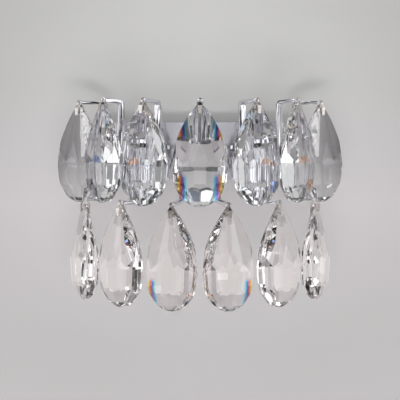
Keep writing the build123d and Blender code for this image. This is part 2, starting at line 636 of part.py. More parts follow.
# ================================================================ lamp arms, cups and holders
tube_end = LAMP_Y + CUP_DIAMETER / 2 - CUP_WALL
tube_top = BOX_BOTTOM + TUBE_INSIDE
holder_back = LAMP_Y + HOLDER_DIAMETER / 2
for side_name, side in SIDES.items():
    lamp_x = side * LAMP_X
    tube_plane = Plane(origin=(lamp_x, 0, 0), x_dir=(0, 1, 0), z_dir=(1, 0, 0))
    mouth = Plane(origin=(lamp_x, -TUBE_BACK, tube_top), z_dir=(0, 0, -1))
    tube_route = ((-TUBE_BACK, tube_top), (-TUBE_BACK, TUBE_Z), (tube_end, TUBE_Z))
    with BuildPart() as lamp_arm:
        with BuildLine(tube_plane):
            FilletPolyline(*tube_route, radius=TUBE_BEND)
        with BuildSketch(mouth):
            Circle(TUBE_DIAMETER / 2)
            Circle(TUBE_DIAMETER / 2 - TUBE_WALL, mode=Mode.SUBTRACT)
        sweep()
        with BuildSketch(Plane.XY.offset(BOX_BOTTOM)):
            with Locations((lamp_x, -TUBE_BACK)):
                Circle(COLLAR_DIAMETER / 2)
                Circle((TUBE_DIAMETER - TUBE_WALL) / 2, mode=Mode.SUBTRACT)
        extrude(amount=-COLLAR_HEIGHT)
    save(lamp_arm.part, f"lamp_arm_{side_name}")

    with BuildPart() as lamp_cup:
        with BuildSketch(Plane.XY.offset(CUP_BOTTOM)):
            with Locations((lamp_x, LAMP_Y)):
                Circle(CUP_DIAMETER / 2)
        extrude(amount=CUP_HEIGHT)
        with BuildSketch(Plane.XY.offset(CUP_BOTTOM)):
            with Locations((lamp_x, LAMP_Y)):
                Circle(CUP_DIAMETER / 2 + CUP_FOOT)
        extrude(amount=CUP_FOOT_HEIGHT)
        with BuildSketch(Plane.XY.offset(CUP_FLOOR)):
            with Locations((lamp_x, LAMP_Y)):
                Circle(CUP_DIAMETER / 2 - CUP_WALL)
        extrude(amount=CUP_HEIGHT, mode=Mode.SUBTRACT)
        with BuildSketch(Plane.XZ.offset(-LAMP_Y)):
            with Locations((lamp_x, TUBE_Z)):
                Circle(TUBE_DIAMETER / 2)
        extrude(amount=-CUP_DIAMETER, mode=Mode.SUBTRACT)
        with BuildSketch(Plane.XY.offset(CUP_BOTTOM)):
            with Locations((lamp_x, LAMP_Y)):
                with GridLocations(0, HOLDER_SCREW_SPACING, 1, 2):
                    Circle(HOLDER_SCREW / 2 + THREAD_SLACK)
        extrude(amount=CUP_WALL, mode=Mode.SUBTRACT)
    save(lamp_cup.part, f"lamp_cup_{side_name}")

    with BuildPart() as lamp_holder:
        with BuildSketch(Plane.XY.offset(CUP_FLOOR)):
            with Locations((lamp_x, LAMP_Y)):
                Circle(HOLDER_DIAMETER / 2)
        extrude(amount=HOLDER_HEIGHT)
        chamfer(lamp_holder.edges().sort_by(Axis.Z)[-1], HOLDER_CHAMFER)
        with BuildSketch(Plane.XY.offset(HOLDER_TOP)):
            with Locations((lamp_x, LAMP_Y)):
                with GridLocations(PIN_PITCH, 0, 2, 1):
                    Rectangle(PIN_WIDTH + 2 * PIN_SLACK, PIN_THICKNESS + 2 * PIN_SLACK)
        extrude(amount=-PIN_LENGTH - PIN_SLACK, mode=Mode.SUBTRACT)
        with BuildSketch(Plane.XZ.offset(-holder_back)):
            with Locations((lamp_x, TUBE_Z)):
                Circle(LEAD / 2 + LEAD_SLACK)
        extrude(amount=LEAD_GRIP + LEAD_SLACK, mode=Mode.SUBTRACT)
        with BuildSketch(Plane.XY.offset(CUP_FLOOR)):
            with Locations((lamp_x, LAMP_Y)):
                with GridLocations(0, HOLDER_SCREW_SPACING, 1, 2):
                    Circle(HOLDER_SCREW / 2 + THREAD_SLACK)
        extrude(amount=HOLDER_SCREW_LENGTH - CUP_WALL, mode=Mode.SUBTRACT)
    save(lamp_holder.part, f"lamp_holder_{side_name}")

    lamp_foot = HOLDER_TOP + LAMP_SEAT
    with BuildPart() as lamp:
        with BuildSketch(Plane.XY.offset(lamp_foot)):
            with Locations((lamp_x, LAMP_Y)):
                RectangleRounded(LAMP_PINCH_WIDTH, LAMP_PINCH_DEPTH, LAMP_PINCH_CORNER)
        extrude(amount=LAMP_PINCH_HEIGHT)
        with BuildSketch(Plane.XY.offset(lamp_foot + LAMP_SHOULDER)):
            with Locations((lamp_x, LAMP_Y)):
                Circle(LAMP_DIAMETER / 2)
        extrude(amount=LAMP_HEIGHT - LAMP_SHOULDER)
        fillet(lamp.edges().sort_by(Axis.Z)[-1], LAMP_DOME)
        with BuildSketch(Plane.XY.offset(lamp_foot)):
            with Locations((lamp_x, LAMP_Y)):
                with GridLocations(PIN_PITCH, 0, 2, 1):
                    Rectangle(PIN_WIDTH, PIN_THICKNESS)
        extrude(amount=-PIN_LENGTH)
    save(lamp.part, f"lamp_{side_name}")

    # the lead rises out of a terminal, crosses the box and runs down through the tube to the holder
    pole_x = TERMINAL_X + side * TERMINAL_PITCH
    lead_start = (pole_x, bore_y, TERMINAL_HEIGHT / 2 - LEAD_GRIP)
    lead_route = (
        lead_start,
        (pole_x, bore_y, LEAD_Z),
        (lamp_x, -TUBE_BACK, LEAD_Z),
        (lamp_x, -TUBE_BACK, TUBE_Z),
        (lamp_x, holder_back - LEAD_GRIP, TUBE_Z),
    )
    with BuildPart() as lamp_lead:
        with BuildLine():
            FilletPolyline(*lead_route, radius=LEAD_BENDS)
        with BuildSketch(Plane(origin=lead_start)):
            Circle(LEAD / 2)
        sweep()
    save(lamp_lead.part, f"lamp_lead_{side_name}")

holder_screw = screw(
    HOLDER_SCREW_HEAD, HOLDER_SCREW_HEAD_HEIGHT, HOLDER_SCREW, HOLDER_SCREW_LENGTH
)
holder_screw_seats = [
    Plane(
        origin=(side * LAMP_X, LAMP_Y + way * HOLDER_SCREW_SPACING / 2, CUP_BOTTOM),
        x_dir=(1, 0, 0),
        z_dir=(0, 0, -1),
    )
    for side in SIDES.values()
    for way in SIDES.values()
]
with BuildPart(*holder_screw_seats) as holder_screws:
    add(holder_screw)
save(holder_screws.part, "holder_screws")

nut_seats = [
    Plane(origin=(side * LAMP_X, -TUBE_BACK, BOX_FLOOR)) for side in SIDES.values()
]
with BuildPart() as lamp_arm_nuts:
    with BuildSketch(*nut_seats):
        RegularPolygon(NUT_ACROSS / 2, 6, major_radius=False)
        Circle(TUBE_DIAMETER / 2 + THREAD_SLACK, mode=Mode.SUBTRACT)
    extrude(amount=NUT_HEIGHT)
save(lamp_arm_nuts.part, "lamp_arm_nuts")
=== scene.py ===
import logging
import math
from dataclasses import dataclass, field
from enum import Enum

import bmesh
import bpy
import numpy as np
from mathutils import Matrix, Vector


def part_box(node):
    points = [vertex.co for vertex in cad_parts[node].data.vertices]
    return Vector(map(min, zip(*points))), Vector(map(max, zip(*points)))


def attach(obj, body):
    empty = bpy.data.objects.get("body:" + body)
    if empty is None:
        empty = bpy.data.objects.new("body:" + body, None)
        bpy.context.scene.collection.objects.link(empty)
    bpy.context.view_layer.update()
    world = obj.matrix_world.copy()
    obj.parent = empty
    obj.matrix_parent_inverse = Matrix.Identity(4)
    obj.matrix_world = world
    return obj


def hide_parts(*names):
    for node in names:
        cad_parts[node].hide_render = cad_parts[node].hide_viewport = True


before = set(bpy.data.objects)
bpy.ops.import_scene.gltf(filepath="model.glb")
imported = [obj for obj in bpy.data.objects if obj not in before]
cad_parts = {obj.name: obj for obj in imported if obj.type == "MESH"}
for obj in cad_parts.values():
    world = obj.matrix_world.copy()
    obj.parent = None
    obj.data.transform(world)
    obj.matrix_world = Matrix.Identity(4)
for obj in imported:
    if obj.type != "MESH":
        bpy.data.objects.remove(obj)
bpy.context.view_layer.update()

log = logging.getLogger("wall_light")

Colour = tuple[float, float, float]
Point = tuple[float, float, float]
Stops = tuple[tuple[float, Colour], ...]
Levels = tuple[tuple[float, float], ...]
Source = float | tuple[float, ...] | bpy.types.NodeSocket

MM = 0.001
BOX_FACE_Y = -21.0 * MM
UPPER_COUNT = 7
LOWER_COUNT = 6
WHITE = (1.0, 1.0, 1.0)


class Side(Enum):
    """A side of the light, by the sign of its places across."""

    LEFT = -1.0
    RIGHT = 1.0


class Tier(Enum):
    """A tier of pendants, by the word that starts its nodes' names."""

    UPPER = "upper"
    LOWER = "lower"


# ---------------------------------------------------------------- nodes
class NodeKit:
    """A tree of shader nodes, with short calls to add, set and link them."""

    def __init__(self, tree: bpy.types.NodeTree) -> None:
        """Takes over a tree.

        Args:
            tree: the nodes of a group, a material or the world.
        """
        self.tree = tree

    def feed(self, source: Source, into: bpy.types.NodeSocket) -> None:
        """Gives an input what it reads.

        Args:
            source: a socket to link, or a value to set.
            into: the input.
        """
        if isinstance(source, bpy.types.NodeSocket):
            self.tree.links.new(source, into)
        else:
            into.default_value = source

    def node(self, kind: str, **inputs: Source) -> bpy.types.Node:
        """A new node.

        Args:
            kind: its type, without the leading "ShaderNode".
            inputs: sockets or values by input name, with spaces written as underscores.

        Returns:
            The node.
        """
        made = self.tree.nodes.new(f"ShaderNode{kind}")
        for name, source in inputs.items():
            self.feed(source, made.inputs[name.replace("_", " ")])
        return made

    def math(self, operation: str, *inputs: Source, clamp: bool = False) -> bpy.types.NodeSocket:
        """The result of a sum on numbers.

        Args:
            operation: which sum.
            inputs: sockets or values, in order.
            clamp: whether the result is kept from 0 to 1.

        Returns:
            The result's socket.
        """
        made = self.node("Math")
        made.operation = operation
        made.use_clamp = clamp
        for source, into in zip(inputs, made.inputs):
            self.feed(source, into)
        return made.outputs[0]

    def vector(self, operation: str, source: bpy.types.NodeSocket) -> bpy.types.NodeOutputs:
        """The outputs of a sum on one vector.

        Args:
            operation: which sum.
            source: the vector.

        Returns:
            The node's outputs.
        """
        made = self.node("VectorMath")
        made.operation = operation
        self.feed(source, made.inputs[0])
        return made.outputs

    def split(self, source: bpy.types.NodeSocket) -> bpy.types.NodeOutputs:
        """The X, Y and Z of a vector."""
        return self.node("SeparateXYZ", Vector=source).outputs

    def spread(
        self, value: Source, start: float, end: float, low: Source = 0.0, high: Source = 1.0
    ) -> bpy.types.NodeSocket:
        """A value carried evenly from one range to another, and kept inside that.

        Args:
            value: the socket to carry over.
            start: the value that becomes low.
            end: the value that becomes high.
            low: the result at the start.
            high: the result at the end.

        Returns:
            The result's socket.
        """
        made = self.node(
            "MapRange", Value=value, From_Min=start, From_Max=end, To_Min=low, To_Max=high
        )
        return made.outputs["Result"]

    def ramp(
        self, place: bpy.types.NodeSocket, stops: Stops, interpolation: str = "LINEAR"
    ) -> bpy.types.NodeSocket:
        """The colour at a place on a ramp.

        Args:
            place: the place, 0 to 1.
            stops: pairs of position and colour.
            interpolation: how the ramp runs between them.

        Returns:
            The colour's socket.
        """
        made = self.node("ValToRGB", Fac=place)
        made.color_ramp.interpolation = interpolation
        while len(made.color_ramp.elements) < len(stops):
            made.color_ramp.elements.new(0.5)
        for stop, (position, colour) in zip(made.color_ramp.elements, stops):
            stop.position = position
            stop.color = (*colour, 1.0)
        return made.outputs["Color"]

    def blend(
        self, first: Source, second: Source, share: Source, kind: str = "MIX"
    ) -> bpy.types.NodeSocket:
        """Mixes two colours, each given as a socket or a value.

        Args:
            first: the colour at share 0.
            second: the colour at share 1.
            share: the share of the second.
            kind: how they mix.

        Returns:
            The colour's socket.
        """
        made = self.node("Mix")
        made.data_type = "RGBA"
        made.blend_type = kind
        for source, into in ((share, "Factor"), (first, 6), (second, 7)):
            self.feed(source, made.inputs[into])
        return made.outputs[2]

    def mix(
        self, first: bpy.types.NodeSocket, second: bpy.types.NodeSocket, share: Source
    ) -> bpy.types.NodeSocket:
        """Mixes two shaders.

        Args:
            first: the shader at share 0.
            second: the shader at share 1.
            share: the share of the second.

        Returns:
            The shader's socket.
        """
        made = self.node("MixShader")
        for source, into in zip((share, first, second), made.inputs):
            self.feed(source, into)
        return made.outputs[0]

    def glow(self, colour: Source, strength: Source) -> bpy.types.NodeSocket:
        """Light of a colour and a strength, each a socket or a value."""
        return self.node("Emission", Color=colour, Strength=strength).outputs["Emission"]


# ---------------------------------------------------------------- shared shader effects
class Effect(Enum):
    """The shared effects, by the name of their node group."""

    HANDLING = "handling_marks"
    WAVES = "sheet_waves"
    MOTTLE = "mottled_tone"
    GRAIN = "moulded_grain"


class EffectLibrary:
    """Builds each shared node group once and hands it out by name."""

    WIPES_FINER = 7.0
    WIPES_SHARE = 0.35
    MARKS_RANGE = (0.5, 0.85)

    def __init__(self) -> None:
        """Starts with no group built."""
        self.trees: dict[Effect, bpy.types.NodeTree] = {}

    def get(self, effect: Effect) -> bpy.types.NodeTree:
        """The node group of an effect, built the first time it is asked for.

        Args:
            effect: which effect.

        Returns:
            The shader node group.
        """
        makers = {
            Effect.HANDLING: self._handling,
            Effect.WAVES: self._waves,
            Effect.MOTTLE: self._mottle,
            Effect.GRAIN: self._grain,
        }
        if effect not in self.trees:
            self.trees[effect] = makers[effect]()
        return self.trees[effect]

    @staticmethod
    def _group(
        effect: Effect, result: tuple[str, str], **inputs: Source
    ) -> tuple[NodeKit, bpy.types.NodeOutputs, bpy.types.NodeSocket]:
        """A new group with its sockets, the first of which is the place, called Vector.

        Args:
            effect: whose group it is.
            result: name and socket type of its one output.
            inputs: default value by socket name; a 4-tuple is a colour.

        Returns:
            The group's nodes, the sockets of its inputs, and the socket that takes its result.
        """
        tree = bpy.data.node_groups.new(effect.value, "ShaderNodeTree")
        for label, value in {"Vector": (0.0, 0.0, 0.0), **inputs}.items():
            kind = "NodeSocketFloat"
            if isinstance(value, tuple):
                kind = "NodeSocketVector" if len(value) == 3 else "NodeSocketColor"
            socket = tree.interface.new_socket(name=label, in_out="INPUT", socket_type=kind)
            socket.default_value = value
        tree.interface.new_socket(name=result[0], in_out="OUTPUT", socket_type=result[1])
        entry = tree.nodes.new("NodeGroupInput")
        leaving = tree.nodes.new("NodeGroupOutput")
        return NodeKit(tree), entry.outputs, leaving.inputs[0]

    def _handling(self) -> bpy.types.NodeTree:
        """Polish that varies in soft patches, with a share of finer wipe marks: two noises added.

        Returns:
            The node group.
        """
        kit, given, result = self._group(
            Effect.HANDLING, ("Roughness", "NodeSocketFloat"), Scale=40.0, Least=0.04, Most=0.12
        )
        finer = kit.math("MULTIPLY", given["Scale"], self.WIPES_FINER)
        broad = kit.node("TexNoise", Vector=given["Vector"], Scale=given["Scale"], Detail=3.0)
        fine = kit.node("TexNoise", Vector=given["Vector"], Scale=finer, Detail=2.0)
        both = kit.math(
            "MULTIPLY_ADD", fine.outputs["Fac"], self.WIPES_SHARE, broad.outputs["Fac"]
        )
        rough = kit.spread(both, *self.MARKS_RANGE, given["Least"], given["Most"])
        kit.feed(rough, result)
        return kit.tree

    def _waves(self) -> bpy.types.NodeTree:
        """Slow waves of pressed sheet under its plating, as one smooth noise.

        Returns:
            The node group.
        """
        kit, given, result = self._group(
            Effect.WAVES, ("Height", "NodeSocketFloat"), Scale=25.0
        )
        noise = kit.node(
            "TexNoise", Vector=given["Vector"], Scale=given["Scale"], Detail=1.0, Roughness=0.3
        )
        kit.feed(noise.outputs["Fac"], result)
        return kit.tree

    def _mottle(self) -> bpy.types.NodeTree:
        """Two close tones mixed by a noise.

        Returns:
            The node group.
        """
        kit, given, result = self._group(
            Effect.MOTTLE,
            ("Color", "NodeSocketColor"),
            Scale=60.0,
            Tone=(0.5, 0.5, 0.5, 1.0),
            Other=(0.4, 0.4, 0.4, 1.0),
        )
        noise = kit.node("TexNoise", Vector=given["Vector"], Scale=given["Scale"], Detail=4.0)
        kit.feed(kit.blend(given["Tone"], given["Other"], noise.outputs["Fac"]), result)
        return kit.tree

    def _grain(self) -> bpy.types.NodeTree:
        """Fine pits of a moulded or fired surface: the distance to the nearest cell point.

        Returns:
            The node group.
        """
        kit, given, result = self._group(
            Effect.GRAIN, ("Height", "NodeSocketFloat"), Scale=900.0
        )
        cells = kit.node("TexVoronoi", Vector=given["Vector"], Scale=given["Scale"])
        kit.feed(cells.outputs["Distance"], result)
        return kit.tree


class MaterialTree(NodeKit):
    """One material's nodes, with its object coordinates and the shared effects."""

    def __init__(self, name: str, effects: EffectLibrary) -> None:
        """Empties a new material and adds its output and its object coordinates.

        Args:
            name: the material's name.
            effects: where shared groups come from.
        """
        self.material = bpy.data.materials.new(name)
        self.material.use_nodes = True
        super().__init__(self.material.node_tree)
        self.tree.nodes.clear()
        self.effects = effects
        self.output = self.node("OutputMaterial")
        self.coordinates = self.node("TexCoord").outputs["Object"]

    def group(self, effect: Effect, **inputs: Source) -> bpy.types.NodeSocket:
        """Places a shared effect and feeds it the object coordinates.

        Args:
            effect: which effect.
            inputs: its sockets' values.

        Returns:
            The group's output socket.
        """
        made = self.node("Group")
        made.node_tree = self.effects.get(effect)
        for name, source in {"Vector": self.coordinates, **inputs}.items():
            self.feed(source, made.inputs[name])
        return made.outputs[0]

    def attribute(self, name: str) -> bpy.types.NodeOutputs:
        """One of the piece's attributes.

        Args:
            name: the attribute's name.

        Returns:
            The outputs of the node that reads it.
        """
        made = self.node("Attribute")
        made.attribute_name = name
        return made.outputs

    def bump(self, height: bpy.types.NodeSocket, depth: float) -> bpy.types.NodeSocket:
        """A normal from a height.

        Args:
            height: the height socket, 0 to 1.
            depth: the relief in metres.

        Returns:
            The normal socket.
        """
        made = self.node("Bump", Distance=depth, Strength=1.0, Height=height)
        return made.outputs["Normal"]

    def clear_shadow(self, glass: bpy.types.NodeSocket, share: float) -> bpy.types.NodeSocket:
        """Glass that throws a thin shadow, as the light it bends would fill it.

        Args:
            glass: the glass shader.
            share: the share of light that its shadow lets through.

        Returns:
            The shader's socket.
        """
        clear = self.node("BsdfTransparent", Color=(share, share, share, 1.0))
        shadow = self.node("LightPath").outputs["Is Shadow Ray"]
        return self.mix(glass, clear.outputs["BSDF"], shadow)

    def one_sided(self, shader: bpy.types.NodeSocket) -> bpy.types.NodeSocket:
        """A stage shader that is clear from the back of its card."""
        clear = self.node("BsdfTransparent").outputs["BSDF"]
        return self.mix(shader, clear, self.node("NewGeometry").outputs["Backfacing"])


# ---------------------------------------------------------------- finishes
@dataclass(frozen=True)
class Finish:
    """A finish of the light or the studio, by its material's name."""

    name: str

    def build(self, effects: EffectLibrary) -> bpy.types.Material:
        """The finish as a material.

        Args:
            effects: where shared groups come from.

        Returns:
            The material.
        """
        tree = MaterialTree(self.name, effects)
        tree.feed(self.shader(tree), tree.output.inputs["Surface"])
        return tree.material

    def shader(self, tree: MaterialTree) -> bpy.types.NodeSocket:
        """The finish's own nodes; each finish has its own.

        Args:
            tree: the material's nodes.

        Returns:
            The last shader's socket.
        """
        raise NotImplementedError(self.name)


@dataclass(frozen=True)
class PlatedMetal(Finish):
    """Plated or bare metal: a mirror coat with handling marks over faintly wavy metal."""

    tone: Colour
    other_tone: Colour
    rough: tuple[float, float]
    marks_scale: float = 60.0
    wave_scale: float = 30.0
    wave_depth: float = 0.02 * MM

    def shader(self, tree: MaterialTree) -> bpy.types.NodeSocket:
        """The metal's nodes.

        Args:
            tree: the material's nodes.

        Returns:
            The metal shader's socket.
        """
        marks = self.marks_scale
        tones = {"Tone": (*self.tone, 1.0), "Other": (*self.other_tone, 1.0)}
        least, most = self.rough
        wave = tree.group(Effect.WAVES, Scale=self.wave_scale)
        metal = tree.node(
            "BsdfPrincipled",
            Metallic=1.0,
            Base_Color=tree.group(Effect.MOTTLE, Scale=marks, **tones),
            Roughness=tree.group(Effect.HANDLING, Scale=marks, Least=least, Most=most),
            Normal=tree.bump(wave, self.wave_depth),
        )
        return metal.outputs["BSDF"]


@dataclass(frozen=True)
class MouldedBody(Finish):
    """Rubber, plastic or fired ceramic: mottled tone with a fine grain."""

    tone: Colour
    other_tone: Colour
    rough: tuple[float, float]
    grain_scale: float = 1500.0
    grain_depth: float = 0.03 * MM
    coat: float = 0.0
    coat_rough: float = 0.1

    def shader(self, tree: MaterialTree) -> bpy.types.NodeSocket:
        """The moulded body's nodes.

        Args:
            tree: the material's nodes.

        Returns:
            The body shader's socket.
        """
        tones = {"Tone": (*self.tone, 1.0), "Other": (*self.other_tone, 1.0)}
        least, most = self.rough
        grain = tree.group(Effect.GRAIN, Scale=self.grain_scale)
        body = tree.node(
            "BsdfPrincipled",
            Coat_Weight=self.coat,
            Coat_Roughness=self.coat_rough,
            Base_Color=tree.group(Effect.MOTTLE, **tones),
            Roughness=tree.group(Effect.HANDLING, Least=least, Most=most),
            Normal=tree.bump(grain, self.grain_depth),
        )
        return body.outputs["BSDF"]


@dataclass(frozen=True)
class WovenSleeve(Finish):
    """Glass-fibre sleeve over a lead: the higher of two crossing waves of threads."""

    tone: Colour
    gap_tone: Colour
    rough: tuple[float, float] = (0.6, 0.85)
    thread_scale: float = 420.0
    thread_turn: float = 45.0
    relief: float = 0.12 * MM

    def shader(self, tree: MaterialTree) -> bpy.types.NodeSocket:
        """The sleeve's nodes.

        Args:
            tree: the material's nodes.

        Returns:
            The sleeve shader's socket.
        """
        threads = []
        for turn in (math.radians(self.thread_turn), math.radians(-self.thread_turn)):
            turned = tree.node("Mapping", Vector=tree.coordinates, Rotation=(turn,) * 3)
            wave = tree.node("TexWave", Vector=turned.outputs["Vector"], Scale=self.thread_scale)
            threads.append(wave.outputs["Fac"])
        higher = tree.math("MAXIMUM", *threads)
        least, most = self.rough
        body = tree.node(
            "BsdfPrincipled",
            Base_Color=tree.blend((*self.gap_tone, 1.0), (*self.tone, 1.0), higher),
            Roughness=tree.group(Effect.HANDLING, Least=least, Most=most),
            Normal=tree.bump(higher, self.relief),
        )
        return body.outputs["BSDF"]


class Fire(Enum):
    """Strength of the painted fire band on the left, on the right and high up on a crystal."""

    NONE = (0.0, 0.0, 0.0)
    LEFT = (1.0, 0.0, 0.0)
    RIGHT = (0.0, 1.0, 0.0)
    BOTH = (1.0, 1.0, 1.0)


@dataclass(frozen=True)
class CutCrystal(Finish):
    """Polished crystal: clear glass that lets lamp light through, with painted light and shade in
    some facets.

    Three attributes of the piece steer it. "cut" holds the place across, from -1 to 1, the place
    down, from 0 to 1, and the painted shade there. "shade" adds painted shade to a whole facet.
    "flash" holds, for each facet, the strength of the painted fire band, the hue of a painted
    spark and the strength of that spark: the band paints the spectrum colours that cut glass
    splits light into, and the sparks paint coloured and dark glints. The band runs from an inner
    to an outer place across, and fades out towards a gap in the crystal's middle height.
    """

    tone: Colour
    # Painted shade turns the glass towards this grey.
    painted_shade_tone: Colour = (0.3, 0.3, 0.31)
    bend: float = 1.545
    shadow: float = 0.96
    # Painted fire: a band of spectrum colours in the base colour, standing in for the colours that
    # the cut splits light into.
    band_across: tuple[float, float] = (0.42, 0.84)
    band_gap: tuple[float, float] = (0.36, 0.66)
    band_fade: float = 0.05
    painted_fire_colours: Stops = (
        (0.0, (0.95, 1.0, 1.0)),
        (0.16, (0.2, 0.95, 1.0)),
        (0.36, (0.0, 0.12, 0.95)),
        (0.52, (0.2, 0.03, 0.2)),
        (0.64, (1.0, 0.06, 0.02)),
        (0.78, (1.0, 0.3, 0.01)),
        (0.9, (1.0, 0.85, 0.08)),
        (1.0, (1.0, 0.97, 0.85)),
    )
    # Painted sparks: coloured and dark glints on single facets.
    painted_spark_colours: Stops = (
        (0.0, (0.05, 0.2, 0.7)),
        (0.2, (0.3, 0.9, 1.0)),
        (0.36, (0.03, 0.035, 0.05)),
        (0.55, (1.0, 0.33, 0.08)),
        (0.7, (0.85, 0.3, 0.25)),
        (0.82, (1.0, 0.8, 0.3)),
        (0.92, (0.1, 0.1, 0.13)),
    )

    def shader(self, tree: MaterialTree) -> bpy.types.NodeSocket:
        """The crystal's nodes.

        Args:
            tree: the material's nodes.

        Returns:
            The crystal shader's socket.
        """
        cut = tree.split(tree.attribute("cut")["Vector"])
        flash = tree.split(tree.attribute("flash")["Vector"])
        # Painted shade, then the painted fire band, then the painted sparks, all mixed into the
        # base colour.
        painted_shade = tree.math("ADD", cut["Z"], tree.attribute("shade")["Fac"], clamp=True)
        place = tree.spread(tree.math("ABSOLUTE", cut["X"]), *self.band_across)
        band = tree.ramp(place, self.painted_fire_colours)
        spark = tree.ramp(flash["Y"], self.painted_spark_colours, "CONSTANT")
        colour = tree.blend((*self.tone, 1.0), (*self.painted_shade_tone, 1.0), painted_shade)
        colour = tree.blend(colour, band, self._band_share(tree, cut["Y"], flash["X"]))
        colour = tree.blend(colour, spark, flash["Z"])
        glass = tree.node(
            "BsdfPrincipled",
            Base_Color=colour,
            Roughness=0.0,
            IOR=self.bend,
            Transmission_Weight=1.0,
        )
        return tree.clear_shadow(glass.outputs["BSDF"], self.shadow)

    def _band_share(
        self, tree: MaterialTree, down: bpy.types.NodeSocket, strength: bpy.types.NodeSocket
    ) -> bpy.types.NodeSocket:
        """The band's strength, faded out over the crystal's middle height.

        Args:
            tree: the material's nodes.
            down: the place down.
            strength: the facet's own strength.

        Returns:
            The share's socket.
        """
        start, end = self.band_gap
        above = tree.spread(down, start, start - self.band_fade)
        below = tree.spread(down, end, end + self.band_fade)
        return tree.math("MULTIPLY", tree.math("MAXIMUM", above, below), strength)


@dataclass(frozen=True)
class BulbGlass(Finish):
    """Thin clear glass of the lamps, with faint drawing marks."""

    tone: Colour
    bend: float = 1.47
    shadow: float = 0.9
    marks_scale: float = 180.0
    marks_depth: float = 0.05 * MM

    def shader(self, tree: MaterialTree) -> bpy.types.NodeSocket:
        """The glass's nodes.

        Args:
            tree: the material's nodes.

        Returns:
            The glass shader's socket.
        """
        marks = tree.group(Effect.WAVES, Scale=self.marks_scale)
        glass = tree.node(
            "BsdfPrincipled",
            Base_Color=(*self.tone, 1.0),
            Roughness=0.0,
            IOR=self.bend,
            Transmission_Weight=1.0,
            Normal=tree.bump(marks, self.marks_depth),
        )
        return tree.clear_shadow(glass.outputs["BSDF"], self.shadow)


# ---------------------------------------------------------------- mesh helpers
WIRE_SLANT = (0.31, 0.52, 0.79)


def tube_faces(rows: int, columns: int, start: int = 0) -> list[list[int]]:
    """The faces of a closed tube of rings: quads from ring to ring, then a face over each end.

    Quad (i, j) joins points j and j + 1 of ring i with the same points of ring i + 1, and the
    last point of a ring is followed by its first.

    Args:
        rows: rings along the tube.
        columns: points round each ring.
        start: the number of its first point.

    Returns:
        Lists of point numbers.
    """
    row = np.arange(rows - 1)[:, None] * columns
    column = np.arange(columns)[None, :]
    after = (column + 1) % columns
    corners = (row + column, row + after, row + columns + after, row + columns + column)
    quads = np.stack(corners, -1).reshape(-1, 4) + start
    ring = np.arange(columns) + start
    return [*quads.tolist(), ring[::-1].tolist(), (ring + (rows - 1) * columns).tolist()]


def mesh_piece(
    name: str, points: np.ndarray, faces: list, smooth: bool = True
) -> bpy.types.Object:
    """A new object from points in metres and faces.

    Args:
        name: the piece's name.
        points: an array of places, one row each.
        faces: lists of point numbers.
        smooth: whether its faces are shaded smooth.

    Returns:
        The object, linked to the scene, at the origin.
    """
    mesh = bpy.data.meshes.new(name)
    mesh.from_pydata(points.tolist(), [], faces)
    mesh.polygons.foreach_set("use_smooth", np.full(len(mesh.polygons), smooth))
    mesh.update()
    return linked(name, mesh)


def linked(name: str, data: bpy.types.ID) -> bpy.types.Object:
    """A new object that holds a mesh, a lamp or a camera, linked to the scene.

    Args:
        name: the object's name.
        data: what it holds.

    Returns:
        The object.
    """
    made = bpy.data.objects.new(name, data)
    bpy.context.scene.collection.objects.link(made)
    return made


def wire(name: str, path: np.ndarray, radius: float, columns: int = 6) -> bpy.types.Object:
    """A round wire along a path of points, closed at both ends.

    Each ring stands square to the path: its axes are the cross products of the path's direction
    with a fixed slanted direction.

    Args:
        name: the piece's name.
        path: the points of its middle line.
        radius: the wire's radius.
        columns: points round each ring.

    Returns:
        The object.
    """
    ahead = np.gradient(path, axis=0)
    ahead /= np.linalg.norm(ahead, axis=1)[:, None]
    side = np.cross(ahead, WIRE_SLANT)
    side /= np.linalg.norm(side, axis=1)[:, None]
    up = np.cross(ahead, side)
    angle = np.linspace(0.0, 2.0 * np.pi, columns, endpoint=False)[None, :, None]
    ring = side[:, None, :] * np.cos(angle) + up[:, None, :] * np.sin(angle)
    points = (path[:, None, :] + radius * ring).reshape(-1, 3)
    return mesh_piece(name, points, tube_faces(len(path), columns))


def dress(piece: bpy.types.Object, material: bpy.types.Material) -> None:
    """Gives a piece one material.

    Args:
        piece: a CAD node or a new piece.
        material: its finish.
    """
    if not piece.material_slots:
        piece.data.materials.append(material)
    for place in piece.material_slots:
        place.material = material


def read_rows(items: bpy.types.bpy_prop_collection, name: str, width: int) -> np.ndarray:
    """One property of every vertex or face of a mesh.

    Args:
        items: the mesh's vertices or polygons.
        name: the property.
        width: how many numbers it has.

    Returns:
        An array with a row for each item.
    """
    values = np.empty(len(items) * width)
    items.foreach_get(name, values)
    return values.reshape(-1, width)


def write_vectors(mesh: bpy.types.Mesh, name: str, domain: str, *columns: np.ndarray) -> None:
    """Writes a vector attribute of a mesh.

    Args:
        mesh: the mesh.
        name: the attribute's name.
        domain: whether it lies on points or faces.
        columns: its X, Y and Z, one number for each item.
    """
    made = mesh.attributes.new(name, "FLOAT_VECTOR", domain)
    made.data.foreach_set("vector", np.stack(columns, -1).ravel())


# ---------------------------------------------------------------- studio
# Each pair is the chance at which a level starts, and its brightness.
SLATE_LEVELS = ((0.0, 0.01), (0.25, 0.07), (0.42, 0.22), (0.62, 0.5), (0.84, 1.0))
PALE_LEVELS = ((0.0, 0.06), (0.16, 0.3), (0.34, 0.65), (0.58, 1.0), (0.85, 1.5))
WALL_HALF = 2.5
# Mirrors see the wall itself this far from its middle, and panelled flags before it beyond.
LIT_HALF = 0.3
FLAG_MIDDLE = (LIT_HALF + WALL_HALF) / 2
FLAG_HALF = (WALL_HALF - LIT_HALF) / 2
FLAG_Y = -1.0 * MM
# How far out the cards behind the camera stand, the brightest ones nearest.
PANELS_Y = -2.5
PLAIN_Y = -2.48
GLINT_Y = -2.45
GLINT_HALF = 0.07
GLINTS = ((-0.8, 0.8), (0.8, 1.05), (-1.3, 0.35), (1.5, -0.2), (0.3, -1.0))


